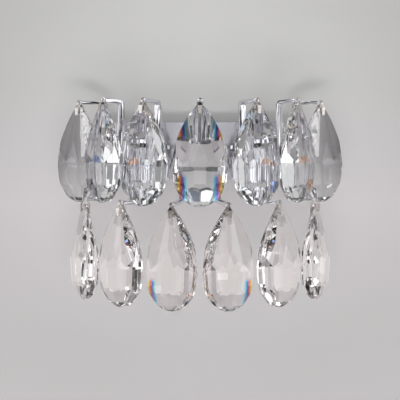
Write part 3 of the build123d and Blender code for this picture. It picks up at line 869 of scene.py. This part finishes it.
@dataclass(frozen=True)
class WallPaint(Finish):
    """Matt paint of the wall, with painted light and painted shade.

    Its tone eases from the painted light of the middle to the painted shade of the corners with
    the length of the place, each axis scaled by its own number, and is multiplied by a painted
    light tint that runs down the wall, brightest a little below the middle and darker above and
    below.
    """

    # Painted light in the middle and painted shade in the corners.
    lit_middle_tone: Colour = (0.66, 0.665, 0.66)
    shaded_corner_tone: Colour = (0.465, 0.465, 0.46)
    scale: Point = (4.0, 0.0, 3.8)
    # Painted light band down the wall between these heights, brightest a little below the middle.
    heights: tuple[float, float] = (0.05, -0.2)
    painted_light_tints: Stops = (
        (0.0, (0.845, 0.845, 0.845)),
        (0.45, (1.0, 0.963, 1.0)),
        (1.0, (0.852, 0.835, 0.852)),
    )

    def shader(self, tree: MaterialTree) -> bpy.types.NodeSocket:
        """The wall's nodes.

        Args:
            tree: the material's nodes.

        Returns:
            The paint shader's socket.
        """
        scaled = tree.node("Mapping", Vector=tree.coordinates, Scale=self.scale)
        reach = tree.vector("LENGTH", scaled.outputs["Vector"])["Value"]
        # Painted light eases into painted shade towards the corners, then the painted light band
        # is multiplied in.
        tone = tree.ramp(reach, ((0.0, self.lit_middle_tone), (1.0, self.shaded_corner_tone)), "EASE")
        down = tree.spread(tree.split(tree.coordinates)["Z"], *self.heights)
        tinted = tree.blend(tone, tree.ramp(down, self.painted_light_tints), 1.0, "MULTIPLY")
        return tree.one_sided(tree.node("BsdfDiffuse", Color=tinted).outputs["BSDF"])


@dataclass(frozen=True)
class FloorPaint(Finish):
    """Pale matt floor."""

    tone: Colour = (0.75, 0.75, 0.74)

    def shader(self, tree: MaterialTree) -> bpy.types.NodeSocket:
        """The floor's one shader, clear from below."""
        paint = tree.node("BsdfDiffuse", Color=(*self.tone, 1.0))
        return tree.one_sided(paint.outputs["BSDF"])


@dataclass(frozen=True)
class PlainGlow(Finish):
    """A card lit evenly."""

    tint: Colour
    light: float

    def shader(self, tree: MaterialTree) -> bpy.types.NodeSocket:
        """The card's one shader."""
        return tree.glow((*self.tint, 1.0), self.light)


@dataclass(frozen=True)
class MiddleGlow(Finish):
    """A card brightest along its middle line, whose light falls evenly to each side."""

    tint: Colour
    most: float
    least: float
    reach: float

    def shader(self, tree: MaterialTree) -> bpy.types.NodeSocket:
        """The card's nodes.

        Args:
            tree: the material's nodes.

        Returns:
            The light's socket.
        """
        aside = tree.math("ABSOLUTE", tree.split(tree.coordinates)["X"])
        light = tree.spread(aside, 0.0, self.reach, self.most, self.least)
        return tree.glow((*self.tint, 1.0), light)


@dataclass(frozen=True)
class PanelGlow(Finish):
    """A card lit in panels of unlike brightness.

    The place is shifted, multiplied by the panels per metre across and up, and rounded down; each
    such cell draws a chance, and the level that starts at or below it gives the brightness.
    """

    tint: Colour
    counts: tuple[float, float]
    shift: float
    light: float
    levels: Levels = SLATE_LEVELS

    def shader(self, tree: MaterialTree) -> bpy.types.NodeSocket:
        """The card's nodes.

        Args:
            tree: the material's nodes.

        Returns:
            The light's socket.
        """
        across, up = self.counts
        scaled = tree.node(
            "Mapping",
            Vector=tree.coordinates,
            Location=(self.shift,) * 3,
            Scale=(across, across, up),
        )
        cell = tree.vector("FLOOR", scaled.outputs["Vector"])["Vector"]
        chance = tree.node("TexWhiteNoise", Vector=cell).outputs["Value"]
        stops = tuple(
            (start, tuple(level * channel for channel in self.tint))
            for start, level in self.levels
        )
        return tree.glow(tree.ramp(chance, stops, "CONSTANT"), self.light)


@dataclass(frozen=True)
class Card:
    """A flat card of the studio: its middle, and half of its width and height as vectors."""

    name: str
    centre: Point
    across: Point
    up: Point

    def build(self, material: bpy.types.Material) -> bpy.types.Object:
        """The card, whose face looks along across x up.

        Args:
            material: its finish.

        Returns:
            The card.
        """
        c, a, u = np.array(self.centre), np.array(self.across), np.array(self.up)
        corners = np.array([c - a - u, c + a - u, c + a + u, c - a + u])
        card = mesh_piece(self.name, corners, [[0, 1, 2, 3]], smooth=False)
        dress(card, material)
        return card


def upright(name: str, centre: Point, wide: float, tall: float) -> Card:
    """A card parallel to the wall.

    Args:
        name: its name.
        centre: its middle.
        wide: half of its width.
        tall: half of its height.

    Returns:
        The card.
    """
    return Card(name, centre, (wide, 0.0, 0.0), (0.0, 0.0, tall))


@dataclass(frozen=True)
class SoftLamp:
    """A rectangular soft lamp, aimed at the light, that no mirror or glass shows."""

    name: str
    place: Point
    size: tuple[float, float]
    watts: float
    tint: Colour = WHITE
    aim: Point = (0.0, -0.06, -0.03)

    def build(self) -> None:
        """Hangs the lamp."""
        data = bpy.data.lights.new(self.name, "AREA")
        data.shape = "RECTANGLE"
        data.size, data.size_y = self.size
        data.energy = self.watts
        data.color = self.tint
        lamp = linked(self.name, data)
        lamp.location = self.place
        ahead = Vector(self.aim) - Vector(self.place)
        lamp.rotation_euler = ahead.to_track_quat("-Z", "Y").to_euler()
        lamp.visible_glossy = False
        lamp.visible_transmission = False


@dataclass
class Studio:
    """Grey wall, pale floor, soft lamps, and cards that only mirrors and glass see.

    The cards stand behind and beside the camera, in front of the wall away from the light, and
    close behind the crystals: a pale one behind the lower tier, which paints light seen through
    the crystals, and a dim strip before the box, which paints the shade of its lower edge seen
    through them.
    """

    wall_y: float = 0.5 * MM
    wall_lap: float = 0.8 * MM
    floor_drop: float = 1.1
    sky: float = 0.45
    surroundings: Colour = (0.6, 0.6, 0.59)
    bounces: int = 24
    mirror_bounces: int = 12
    lamps: tuple[SoftLamp, ...] = (
        SoftLamp("lamp_left", (-1.7, -0.9, 0.2), (1.6, 1.9), 20.5),
        SoftLamp("lamp_right", (1.7, -0.9, 0.2), (1.6, 1.9), 20.5),
        SoftLamp("lamp_over", (0.0, -0.7, 1.3), (1.2, 0.5), 2.2, (1.0, 0.99, 0.97)),
        SoftLamp("lamp_low", (0.0, -0.9, -0.4), (0.6, 0.2), 5.0, (1.0, 0.97, 0.97)),
    )
    cards: tuple[tuple[Finish, tuple[Card, ...]], ...] = (
        (
            PlainGlow("studio_flag", (0.02, 0.02, 0.02), 1.0),
            (
                upright("flag_front", (0.0, -2.6, 0.2), 2.2, 1.4),
                Card("flag_left", (-2.5, -1.3, 0.4), (0, 1.3, 0), (0, 0, 1.6)),
                Card("flag_right", (2.5, -1.3, 0.4), (0, -1.3, 0), (0, 0, 1.6)),
                Card("flag_over", (0.0, -1.3, 2.0), (2.5, 0, 0), (0, 1.3, 0)),
            ),
        ),
        (
            PanelGlow("studio_grey_flag", (0.97, 0.98, 1.0), (7.0, 7.0), 0.13, 1.1, PALE_LEVELS),
            (
                upright("flag_wall_left", (-FLAG_MIDDLE, FLAG_Y, 0.0), FLAG_HALF, WALL_HALF),
                upright("flag_wall_right", (FLAG_MIDDLE, FLAG_Y, 0.0), FLAG_HALF, WALL_HALF),
                upright("flag_wall_high", (0.0, FLAG_Y, FLAG_MIDDLE), LIT_HALF, FLAG_HALF),
                upright("flag_wall_low", (0.0, FLAG_Y, -FLAG_MIDDLE), LIT_HALF, FLAG_HALF),
            ),
        ),
        (
            MiddleGlow("studio_middle_card", (0.97, 0.97, 1.0), 0.95, 0.12, 0.17),
            (upright("card_middle", (0.0, PANELS_Y, 0.015), 0.45, 0.135),),
        ),
        (
            PanelGlow("studio_low_card", (1.0, 0.96, 0.97), (5.0, 6.5), 0.31, 3.2),
            (upright("card_low", (0.0, PANELS_Y, -0.5), 1.3, 0.38),),
        ),
        (
            PanelGlow("studio_high_card", (0.96, 0.97, 1.0), (6.0, 5.0), 0.77, 3.2),
            (upright("card_high", (0.0, PANELS_Y, 0.5), 1.3, 0.35),),
        ),
        (
            PanelGlow("studio_side_card", (0.97, 0.98, 1.0), (14.0, 7.0), 0.37, 1.6, PALE_LEVELS),
            (
                Card("card_left", (-2.4, -1.3, -0.05), (0, 0.9, 0), (0, 0, 0.75)),
                Card("card_right", (2.4, -1.3, -0.05), (0, -0.9, 0), (0, 0, 0.75)),
            ),
        ),
        (
            PanelGlow("studio_under_card", (0.98, 0.97, 0.97), (4.0, 4.0), 0.53, 1.3),
            (Card("card_under", (0.0, -1.2, -0.9), (2.5, 0, 0), (0, -1.1, 0)),),
        ),
        (
            PlainGlow("studio_foot_card", WHITE, 1.6),
            (upright("card_foot", (-0.62, PLAIN_Y, 1.12), 0.5, 0.25),),
        ),
        (
            PlainGlow("studio_slate_card", (0.5, 0.65, 0.9), 0.2),
            (upright("card_slate", (0.4, PLAIN_Y, 1.12), 0.45, 0.25),),
        ),
        (
            PlainGlow("studio_flare_card", WHITE, 6.0),
            (
                upright("card_flare_left", (-1.5, PLAIN_Y, 1.4), 0.25, 0.2),
                upright("card_flare_right", (1.5, PLAIN_Y, 1.4), 0.25, 0.2),
            ),
        ),
        # Painted light: a glowing card close to the wall, seen only through the lower crystals.
        (
            PlainGlow("studio_behind_card", (1.0, 0.975, 0.97), 0.7),
            (upright("card_behind", (0.0, -1.5 * MM, -157.0 * MM), 0.17, 44.0 * MM),),
        ),
        # Painted shade: a dim strip before the box's lower edge, seen through the crystals as a
        # dark band.
        (
            PlainGlow("studio_box_edge_card", (0.95, 0.97, 1.0), 0.11),
            (upright("card_box_edge", (0.0, -22.5 * MM, -20.5 * MM), 28.0 * MM, 2.6 * MM),),
        ),
        (
            PlainGlow("studio_glint", WHITE, 14.0),
            tuple(
                upright(f"glint_{number}", (x, GLINT_Y, z), GLINT_HALF, GLINT_HALF)
                for number, (x, z) in enumerate(GLINTS, start=1)
            ),
        ),
    )
    effects: EffectLibrary = field(default_factory=EffectLibrary)

    def _wall(self) -> None:
        """The wall: four sides from a square outline to an opening a lap inside the box's own."""
        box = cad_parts["wall_box"]
        corners = np.array([box.matrix_world @ Vector(corner) for corner in box.bound_box])
        left, _, bottom = corners.min(0) + self.wall_lap
        right, _, top = corners.max(0) - self.wall_lap
        far = WALL_HALF
        outline = [(-far, -far), (far, -far), (far, far), (-far, far)]
        outline += [(left, bottom), (right, bottom), (right, top), (left, top)]
        points = np.array([(x, self.wall_y, z) for x, z in outline])
        sides = [[0, 1, 5, 4], [1, 2, 6, 5], [2, 3, 7, 6], [3, 0, 4, 7]]
        card = mesh_piece("studio_wall", points, sides, smooth=False)
        dress(card, WallPaint("studio_wall").build(self.effects))

    def _floor(self) -> None:
        """The pale floor, well below the light."""
        half = WALL_HALF
        floor = Card("studio_floor", (0.0, -1.0, -self.floor_drop), (half, 0, 0), (0, half, 0))
        floor.build(FloorPaint("studio_floor").build(self.effects))

    def _cards(self) -> None:
        """Every card that only mirrors and glass see."""
        for finish, cards in self.cards:
            material = finish.build(self.effects)
            for card in cards:
                made = card.build(material)
                made.visible_camera = False
                made.visible_diffuse = False
                made.visible_shadow = False

    def _world(self) -> None:
        """Pale surroundings for the camera, metal and glass, and a softer fill for the rest."""
        world = bpy.data.worlds.new("studio")
        world.use_nodes = True
        kit = NodeKit(world.node_tree)
        kit.tree.nodes.clear()
        path = kit.node("LightPath").outputs
        seen = kit.node("Background", Color=(*self.surroundings, 1.0), Strength=1.0)
        fill = kit.node("Background", Color=(*WHITE, 1.0), Strength=self.sky)
        looked = kit.math("MAXIMUM", path["Is Camera Ray"], path["Is Glossy Ray"])
        looked = kit.math("MAXIMUM", looked, path["Is Transmission Ray"])
        light = kit.mix(fill.outputs["Background"], seen.outputs["Background"], looked)
        kit.node("OutputWorld", Surface=light)
        bpy.context.scene.world = world

    def build(self) -> None:
        """Sets up the whole studio and the light's path through the crystals."""
        self._wall()
        self._floor()
        self._cards()
        for lamp in self.lamps:
            lamp.build()
        self._world()
        scene = bpy.context.scene
        scene.view_settings.view_transform = "Standard"
        scene.cycles.max_bounces = self.bounces
        scene.cycles.transmission_bounces = self.bounces
        scene.cycles.glossy_bounces = self.mirror_bounces
        scene.cycles.transparent_max_bounces = self.bounces
        scene.cycles.caustics_reflective = False
        scene.cycles.caustics_refractive = False
        log.info("studio: wall, floor, cards and lamps")


@dataclass
class PhotoCamera:
    """The photograph's viewpoint: straight in front, level with the box, tilted down a little."""

    distance: float = 1.215
    height: float = 0.4 * MM
    lens: float = 114.3
    sensor: float = 36.0
    pitch: float = 2.727
    clip: tuple[float, float] = (0.05, 50.0)

    def build(self) -> None:
        """Creates the camera and makes it the scene's own."""
        data = bpy.data.cameras.new("camera")
        data.sensor_width = self.sensor
        data.lens = self.lens
        data.clip_start, data.clip_end = self.clip
        camera = linked("camera", data)
        camera.location = (0.0, BOX_FACE_Y - self.distance, self.height)
        camera.rotation_euler = (math.radians(90.0 - self.pitch), 0.0, 0.0)
        bpy.context.scene.camera = camera
        log.info("camera: lens %.1f mm", self.lens)


# ---------------------------------------------------------------- sub-assemblies
class Look(Enum):
    """The finishes of the light's pieces."""

    CHROME = PlatedMetal(
        "polished_chrome", (0.84, 0.835, 0.87), (0.78, 0.775, 0.81), (0.03, 0.09)
    )
    BOX = PlatedMetal(
        "box_chrome", (0.8, 0.795, 0.84), (0.75, 0.745, 0.79), (0.07, 0.14),
        marks_scale=30.0, wave_scale=12.0, wave_depth=0.03 * MM,
    )
    CLIP = PlatedMetal(
        "clip_plating", (0.8, 0.74, 0.7), (0.66, 0.6, 0.56), (0.12, 0.25),
        marks_scale=200.0, wave_scale=150.0,
    )
    ZINC = PlatedMetal(
        "zinc_plate", (0.6, 0.61, 0.63), (0.48, 0.5, 0.53), (0.28, 0.42),
        marks_scale=120.0, wave_scale=60.0,
    )
    BRASS = PlatedMetal(
        "terminal_brass", (0.78, 0.58, 0.28), (0.66, 0.47, 0.2), (0.2, 0.35),
        marks_scale=200.0, wave_scale=90.0,
    )
    WIRE = PlatedMetal(
        "lamp_wire", (0.55, 0.55, 0.56), (0.4, 0.4, 0.42), (0.2, 0.35),
        marks_scale=300.0, wave_scale=200.0,
    )
    CERAMIC = MouldedBody(
        "holder_ceramic", (0.86, 0.85, 0.81), (0.8, 0.79, 0.75), (0.35, 0.5), coat=0.2
    )
    RUBBER = MouldedBody(
        "grommet_rubber", (0.03, 0.03, 0.03), (0.05, 0.05, 0.048), (0.5, 0.7), grain_scale=900.0
    )
    PLASTIC = MouldedBody(
        "terminal_plastic", (0.82, 0.82, 0.78), (0.76, 0.76, 0.72), (0.3, 0.45)
    )
    SLEEVE = WovenSleeve("lead_sleeve", (0.75, 0.73, 0.68), (0.45, 0.43, 0.39))
    UPPER_CRYSTAL = CutCrystal("cut_crystal", WHITE)
    LOWER_CRYSTAL = CutCrystal("cut_crystal_rose", (1.0, 0.955, 0.95))
    BULB = BulbGlass("bulb_glass", (0.98, 0.98, 0.98))


class Finishes:
    """The material of every finish, built once."""

    def __init__(self, effects: EffectLibrary) -> None:
        """Builds the materials.

        Args:
            effects: where shared groups come from.
        """
        self.materials = {look: look.value.build(effects) for look in Look}

    def __getitem__(self, look: Look) -> bpy.types.Material:
        """The material of a finish."""
        return self.materials[look]


@dataclass(frozen=True)
class Edge:
    """How a copy of a CAD node gets its edges: a bevel on those sharper than so many degrees."""

    width: float
    steps: int
    smooth: bool
    sharper_than: float


MERGE_DISTANCE = 0.002 * MM
FLAT_DEGREES = 0.6


def refined_copy(node: str, name: str, edge: Edge) -> bpy.types.Object:
    """A copy of a CAD node with flat faces merged and its edges rounded or broken.

    The node's triangles are joined where they meet, coplanar ones become one face, and a bevel
    finishes every edge sharper than its limit.

    Args:
        node: the CAD node.
        name: the copy's name.
        edge: the bevel.

    Returns:
        The copy, at the origin.
    """
    shape = bmesh.new()
    shape.from_mesh(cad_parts[node].data)
    bmesh.ops.remove_doubles(shape, verts=shape.verts, dist=MERGE_DISTANCE)
    bmesh.ops.dissolve_limit(
        shape, angle_limit=math.radians(FLAT_DEGREES), verts=shape.verts, edges=shape.edges
    )
    mesh = bpy.data.meshes.new(name)
    shape.to_mesh(mesh)
    shape.free()
    mesh.polygons.foreach_set("use_smooth", np.full(len(mesh.polygons), edge.smooth))
    piece = linked(name, mesh)
    rim = piece.modifiers.new("edges", "BEVEL")
    rim.width = edge.width
    rim.segments = edge.steps
    rim.limit_method = "ANGLE"
    rim.angle_limit = math.radians(edge.sharper_than)
    rim.harden_normals = edge.smooth
    return piece


@dataclass
class FixedFrame:
    """Box, bracket, hoop, lamp arms and all fixed fittings, which keep their own shapes."""

    finishes: Finishes
    by_look: dict[Look, tuple[str, ...]] = field(
        default_factory=lambda: {
            Look.BOX: ("wall_box",),
            Look.CHROME: (
                "hoop", "box_screws", "hoop_screws", "holder_screws", "lamp_arm_nuts",
                "lamp_arm_left", "lamp_arm_right", "lamp_cup_left", "lamp_cup_right",
            ),
            Look.ZINC: ("wall_bracket", "earth_screw"),
            Look.BRASS: ("terminal_screws",),
            Look.PLASTIC: ("terminal_block",),
            Look.RUBBER: ("cable_grommet",),
            Look.CERAMIC: ("lamp_holder_left", "lamp_holder_right"),
            Look.SLEEVE: ("lamp_lead_left", "lamp_lead_right"),
        }
    )

    def build(self) -> None:
        """Dresses the fixed nodes."""
        for look, nodes in self.by_look.items():
            for node in nodes:
                dress(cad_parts[node], self.finishes[look])
                log.info("%s: %s", node, look.value.name)


@dataclass
class PendantTier:
    """One tier of arms, clips and crystals, numbered from left to right.

    Places down a crystal are shares of its height from the tip, and places across are shares of
    half its width from the middle plane. A row of facets ends at each of the row ends, and each
    row has its own painted shade, the long kites at the top that of the tier.
    """

    finishes: Finishes
    tier: Tier
    count: int
    crystal_look: Look
    # Painted fire bands and painted sparks by crystal number, and the crystals with painted side
    # shade.
    fires: dict[int, Fire] = field(default_factory=dict)
    sparks: dict[int, float] = field(default_factory=dict)
    painted_shade_crystals: tuple[int, ...] = ()
    arm_edge: Edge = Edge(0.7 * MM, 3, True, 25.0)
    crystal_edge: Edge = Edge(0.14 * MM, 1, False, 5.0)
    # Where the painted fire band and the painted sparks lie.
    band_from: float = 0.36
    band_high_to: float = 0.45
    band_low_from: float = 0.6
    spark_strength: float = 0.85
    spark_area: float = 60.0 * MM * MM
    spark_from: float = 0.5
    # Painted shade of each row of facets, darkest on the long kites at the top.
    row_ends: tuple[float, ...] = (0.47, 0.61, 0.85)
    kite_shade: float = 0.18
    row_shades: tuple[float, ...] = (0.0, 0.01, 0.03)
    shade_least: float = 0.6
    shade_more: float = 0.8
    # Painted side shade: darker towards the tier's end, fading near the foot.
    side_shade_middle: float = 0.2
    side_shade_outwards: float = 0.55
    side_shade_to: float = 0.92
    side_shade_fade: float = 0.3
    # Random patches of painted shade on the crystals with painted side shade.
    patches: float = 0.22
    patches_to: float = 0.8
    first_seed: int = 40

    def build(self) -> None:
        """Dresses the clips, and puts rounded arms and faceted crystals over the plain ones."""
        tier = self.tier.value
        for number in range(1, self.count + 1):
            dress(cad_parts[f"{tier}_clip_{number}"], self.finishes[Look.CLIP])
            self._arm(f"{tier}_arm_{number}")
            self._crystal(f"{tier}_crystal_{number}", number)
            log.info("%s pendant %d", tier, number)

    def _arm(self, node: str) -> None:
        """An arm with rounded edges over its node, riding on the fixed frame.

        Args:
            node: the arm's CAD node.
        """
        piece = refined_copy(node, f"polished_{node}", self.arm_edge)
        dress(piece, self.finishes[Look.CHROME])
        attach(piece, "frame")
        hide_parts(node)

    def _crystal(self, node: str, number: int) -> None:
        """A crystal with flat facets and finely broken edges over its node, which is its body too.

        Args:
            node: the crystal's CAD node.
            number: which crystal of the tier it is.
        """
        piece = refined_copy(node, f"cut_{node}", self.crystal_edge)
        self._mark(piece.data, number)
        dress(piece, self.finishes[self.crystal_look])
        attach(piece, node)
        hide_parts(node)

    def _mark(self, mesh: bpy.types.Mesh, number: int) -> None:
        """Writes the attributes that the crystal's finish reads.

        The middle plane is square to the level direction in which the vertices spread most.
        Painted side shade grows towards the tier's end and fades near the foot. The painted fire
        band lies on side facets that look outwards, and painted sparks on small facets, picked at
        random, that look to the wall. A facet's painted shade is its row's times a random share,
        plus a random patch on a crystal with painted side shade.

        Args:
            mesh: the crystal's mesh.
            number: which crystal of the tier it is.
        """
        points = read_rows(mesh.vertices, "co", 3)
        middle = (points.max(0) + points.min(0)) / 2
        flat = points[:, :2] - middle[:2]
        spread = np.linalg.eigh(flat.T @ flat)[1][:, -1]
        spread = spread * np.sign(spread[0])
        half = np.abs(flat @ spread).max()
        top, height = points[:, 2].max(), np.ptp(points[:, 2])
        across, down = flat @ spread / half, (top - points[:, 2]) / height
        # Painted side shade, growing towards the tier's end.
        outer = np.sign(number - (self.count + 1) / 2)
        painted_shade = np.clip(across * outer * self.side_shade_outwards + self.side_shade_middle, 0.0, 1.0)
        painted_shade = painted_shade * np.clip((self.side_shade_to - down) / self.side_shade_fade, 0.0, 1.0)
        write_vectors(mesh, "cut", "POINT", across, down, painted_shade * (number in self.painted_shade_crystals))

        centres = read_rows(mesh.polygons, "center", 3)
        normals = read_rows(mesh.polygons, "normal", 3)
        areas = read_rows(mesh.polygons, "area", 1)[:, 0]
        side = (centres[:, :2] - middle[:2]) @ spread / half
        low = (top - centres[:, 2]) / height
        outward = normals[:, :2] @ (middle[:2] - np.array([0.0, BOX_FACE_Y])) > 0.0
        # Painted fire band on outward side facets.
        left, right, high = self.fires.get(number, Fire.NONE).value
        rows = np.where(low > self.band_low_from, 1.0, high * (low < self.band_high_to))
        band = np.where(side < 0.0, left, right) * rows * outward
        band = band * (np.abs(side) > self.band_from)

        chance = np.random.default_rng(self.first_seed + number)
        hue, luck = chance.random(len(side)), chance.random(len(side))
        # Painted sparks on small facets that look to the wall.
        small = (areas < self.spark_area) & (low > self.spark_from)
        picked = (luck < self.sparks.get(number, 0.0)) & ~outward & small
        write_vectors(mesh, "flash", "FACE", band, hue, picked * self.spark_strength)

        # Painted shade by row, plus random patches of it on the crystals with painted side shade.
        row_shades = np.array([self.kite_shade, *self.row_shades])
        shades = row_shades[np.digitize(low, self.row_ends)]
        shades = shades * (self.shade_least + self.shade_more * chance.random(len(side)))
        patches = self.patches * chance.random(len(side)) * (low < self.patches_to)
        shade = mesh.attributes.new("shade", "FLOAT", "FACE")
        shade.data.foreach_set("value", shades + patches * (number in self.painted_shade_crystals))


@dataclass
class CapsuleLamp:
    """One clear capsule lamp: a glass bulb with its wall, a pinched foot, a coil and two pins."""

    finishes: Finishes
    side: Side
    columns: int = 40
    foot_rows: int = 10
    side_rows: int = 6
    dome_rows: int = 12
    wall: float = 0.9 * MM
    top_wall: float = 1.26 * MM
    step_start: float = 3.78 * MM
    dome: float = 6.6 * MM
    pinch_width: float = 13.6 * MM
    pinch_depth: float = 5.0 * MM
    pinch_height: float = 9.0 * MM
    pinch_square: float = 2.2
    coil_level: float = 0.55
    coil_radius: float = 1.1 * MM
    coil_turns: int = 14
    turn_points: int = 12
    coil_length: float = 5.85 * MM
    coil_wire: float = 0.14 * MM
    leg_start: float = 0.3
    leg_points: int = 8
    pin_length: float = 8.0 * MM
    pin_spacing: float = 9.0 * MM
    pin_half: tuple[float, float] = (1.3 * MM, 0.4 * MM)
    pin_levels: tuple[float, ...] = (0.0, 0.12, 0.9, 1.0)
    pin_widths: tuple[float, ...] = (0.8, 1.0, 1.0, 1.0)
    pin_power: float = 0.4
    pin_columns: int = 24

    def build(self) -> None:
        """Builds the bulb, the coil and the pins over the plain lamp solid."""
        side = self.side.name.lower()
        node = body = f"lamp_{side}"
        low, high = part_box(node)
        x, y = (low[0] + high[0]) / 2, (low[1] + high[1]) / 2
        foot = (x, y, low[2] + self.pin_length)
        height = high[2] - foot[2]
        outer = (high[1] - low[1]) / 2
        pieces = {
            f"bulb_{side}": (self._bulb(foot, height, outer), Look.BULB),
            f"coil_{side}": (self._coil(foot, height), Look.WIRE),
            f"pins_{side}": (self._pins(foot), Look.WIRE),
        }
        for name, (piece, look) in pieces.items():
            piece.name = name
            dress(piece, self.finishes[look])
            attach(piece, body)
            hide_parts(node)
            log.info("%s on %s", name, body)

    def _bulb(self, foot: Point, height: float, outer: float) -> bpy.types.Object:
        """The bulb's outer and inner skins in one closed turned shape.

        The half width along x goes from the pinch's to the bulb's, and the half depth along y
        likewise, as a smooth step of the height, 3 s^2 - 2 s^3; the top is a quarter of an
        ellipse. In shares of the two halves each ring is |x|^p + |y|^p = 1, where the power p goes
        from the pinch's, squarish, down to 2, which is round. The inner skin is the same figure a
        wall smaller, from the top of the pinch up.

        Args:
            foot: the middle of the bulb's foot.
            height: its height.
            outer: the bulb's radius.

        Returns:
            The bulb.
        """
        angle = np.linspace(0.0, 2.0 * np.pi, self.columns, endpoint=False)
        shoulder = height - self.dome
        quarter = np.linspace(0.0, np.pi / 2, self.dome_rows)[1:-1]
        rise = np.concatenate(
            [
                np.linspace(0.0, self.pinch_height, self.foot_rows),
                np.linspace(self.pinch_height, shoulder, self.side_rows)[1:],
                shoulder + self.dome * np.sin(quarter),
            ]
        )
        step = (rise - self.step_start) / (self.pinch_height - self.step_start)
        step = np.clip(step, 0.0, 1.0)
        step = step * step * (3.0 - 2.0 * step)
        cap = np.sqrt(np.clip(1.0 - ((rise - shoulder) / self.dome).clip(0.0) ** 2, 0.0, 1.0))
        half_x = (self.pinch_width / 2 * (1.0 - step) + outer * step) * cap
        half_y = (self.pinch_depth / 2 * (1.0 - step) + outer * step) * cap
        power = (2.0 + self.pinch_square * (1.0 - step))[:, None]
        total = np.abs(np.cos(angle)) ** power + np.abs(np.sin(angle)) ** power
        shape = 1.0 / total ** (1.0 / power)
        outside = np.stack(
            [
                foot[0] + half_x[:, None] * shape * np.cos(angle),
                foot[1] + half_y[:, None] * shape * np.sin(angle),
                np.broadcast_to(foot[2] + rise[:, None], (len(rise), self.columns)),
            ],
            -1,
        )
        inner = outside[self.foot_rows - 1 :].copy()
        middle = np.array(foot[:2])
        inner[..., :2] = middle + (inner[..., :2] - middle) * (1.0 - self.wall / outer)
        inner[..., 2] = np.minimum(inner[..., 2], foot[2] + height - self.top_wall)
        points = np.concatenate([outside.reshape(-1, 3), inner.reshape(-1, 3)])
        within = tube_faces(len(inner), self.columns, start=len(rise) * self.columns)
        faces = tube_faces(len(rise), self.columns) + [face[::-1] for face in within]
        return mesh_piece("bulb", points, faces)

    def _coil(self, foot: Point, height: float) -> bpy.types.Object:
        """The coil and its two legs as one wire.

        The coil is a helix along x, whose other two coordinates are its radius times the cosine
        and the sine of the turn. Each leg runs straight up from the pinch to its end.

        Args:
            foot: the middle of the bulb's foot.
            height: the bulb's height.

        Returns:
            The wire.
        """
        turn = np.linspace(0.0, 2.0 * np.pi * self.coil_turns, self.coil_turns * self.turn_points)
        along = np.linspace(-self.coil_length / 2, self.coil_length / 2, len(turn))
        level = foot[2] + height * self.coil_level
        around = self.coil_radius * np.stack([np.cos(turn), np.sin(turn)], -1)
        helix = np.column_stack([foot[0] + along, foot[1] + around[:, 0], level + around[:, 1]])
        rise = np.linspace(self.leg_start, 1.0, self.leg_points)[:, None]
        left, right = (
            end * rise + np.array([end[0], foot[1], foot[2]]) * (1.0 - rise)
            for end in (helix[0], helix[-1])
        )
        path = np.concatenate([left[:-1], helix, right[::-1][1:]])
        return wire("coil", path, self.coil_wire)

    def _pins(self, foot: Point) -> bpy.types.Object:
        """The two flat pins under the foot, each a bar with rounded sides and a narrowed end.

        Each ring is a half width times the cosine or sine of the angle, raised to a small power
        with its sign kept, which squares the oval, times the share of the width at its level.

        Args:
            foot: the middle of the bulb's foot.

        Returns:
            Both pins as one piece.
        """
        angle = np.linspace(0.0, 2.0 * np.pi, self.pin_columns, endpoint=False)
        level = np.array(self.pin_levels)[:, None]
        share = np.array(self.pin_widths)[:, None]
        oval_x, oval_y = (
            half * share * np.sign(part) * np.abs(part) ** self.pin_power
            for half, part in zip(self.pin_half, (np.cos(angle), np.sin(angle)))
        )
        z = np.broadcast_to(foot[2] - self.pin_length * (1.0 - level), oval_x.shape)
        points, faces = [], []
        for side in Side:
            x = foot[0] + side.value * self.pin_spacing / 2 + oval_x
            faces += tube_faces(len(level), len(angle), start=len(points) * z.size)
            points.append(np.stack([x, foot[1] + oval_y, z], -1).reshape(-1, 3))
        return mesh_piece("pins", np.concatenate(points), faces)


def main() -> None:
    """Builds the studio, the camera and each sub-assembly in order."""
    logging.basicConfig(level=logging.INFO, format="%(name)s %(message)s")
    PhotoCamera().build()
    studio = Studio()
    studio.build()
    finishes = Finishes(studio.effects)
    FixedFrame(finishes).build()
    # The upper tier gets painted fire on its middle crystal, painted sparks beside it and painted
    # side shade on its end crystals; the lower tier gets painted fire on its middle pair and
    # darker painted shade on its kites.
    PendantTier(
        finishes, Tier.UPPER, UPPER_COUNT, Look.UPPER_CRYSTAL,
        fires={4: Fire.BOTH}, sparks={2: 0.4, 3: 0.7, 5: 0.7, 6: 0.4}, painted_shade_crystals=(1, UPPER_COUNT),
    ).build()
    PendantTier(
        finishes, Tier.LOWER, LOWER_COUNT, Look.LOWER_CRYSTAL,
        fires={3: Fire.LEFT, 4: Fire.RIGHT}, kite_shade=0.28,
    ).build()
    for side in Side:
        CapsuleLamp(finishes, side).build()
    bpy.context.view_layer.update()


if __name__ == "__main__":
    main()
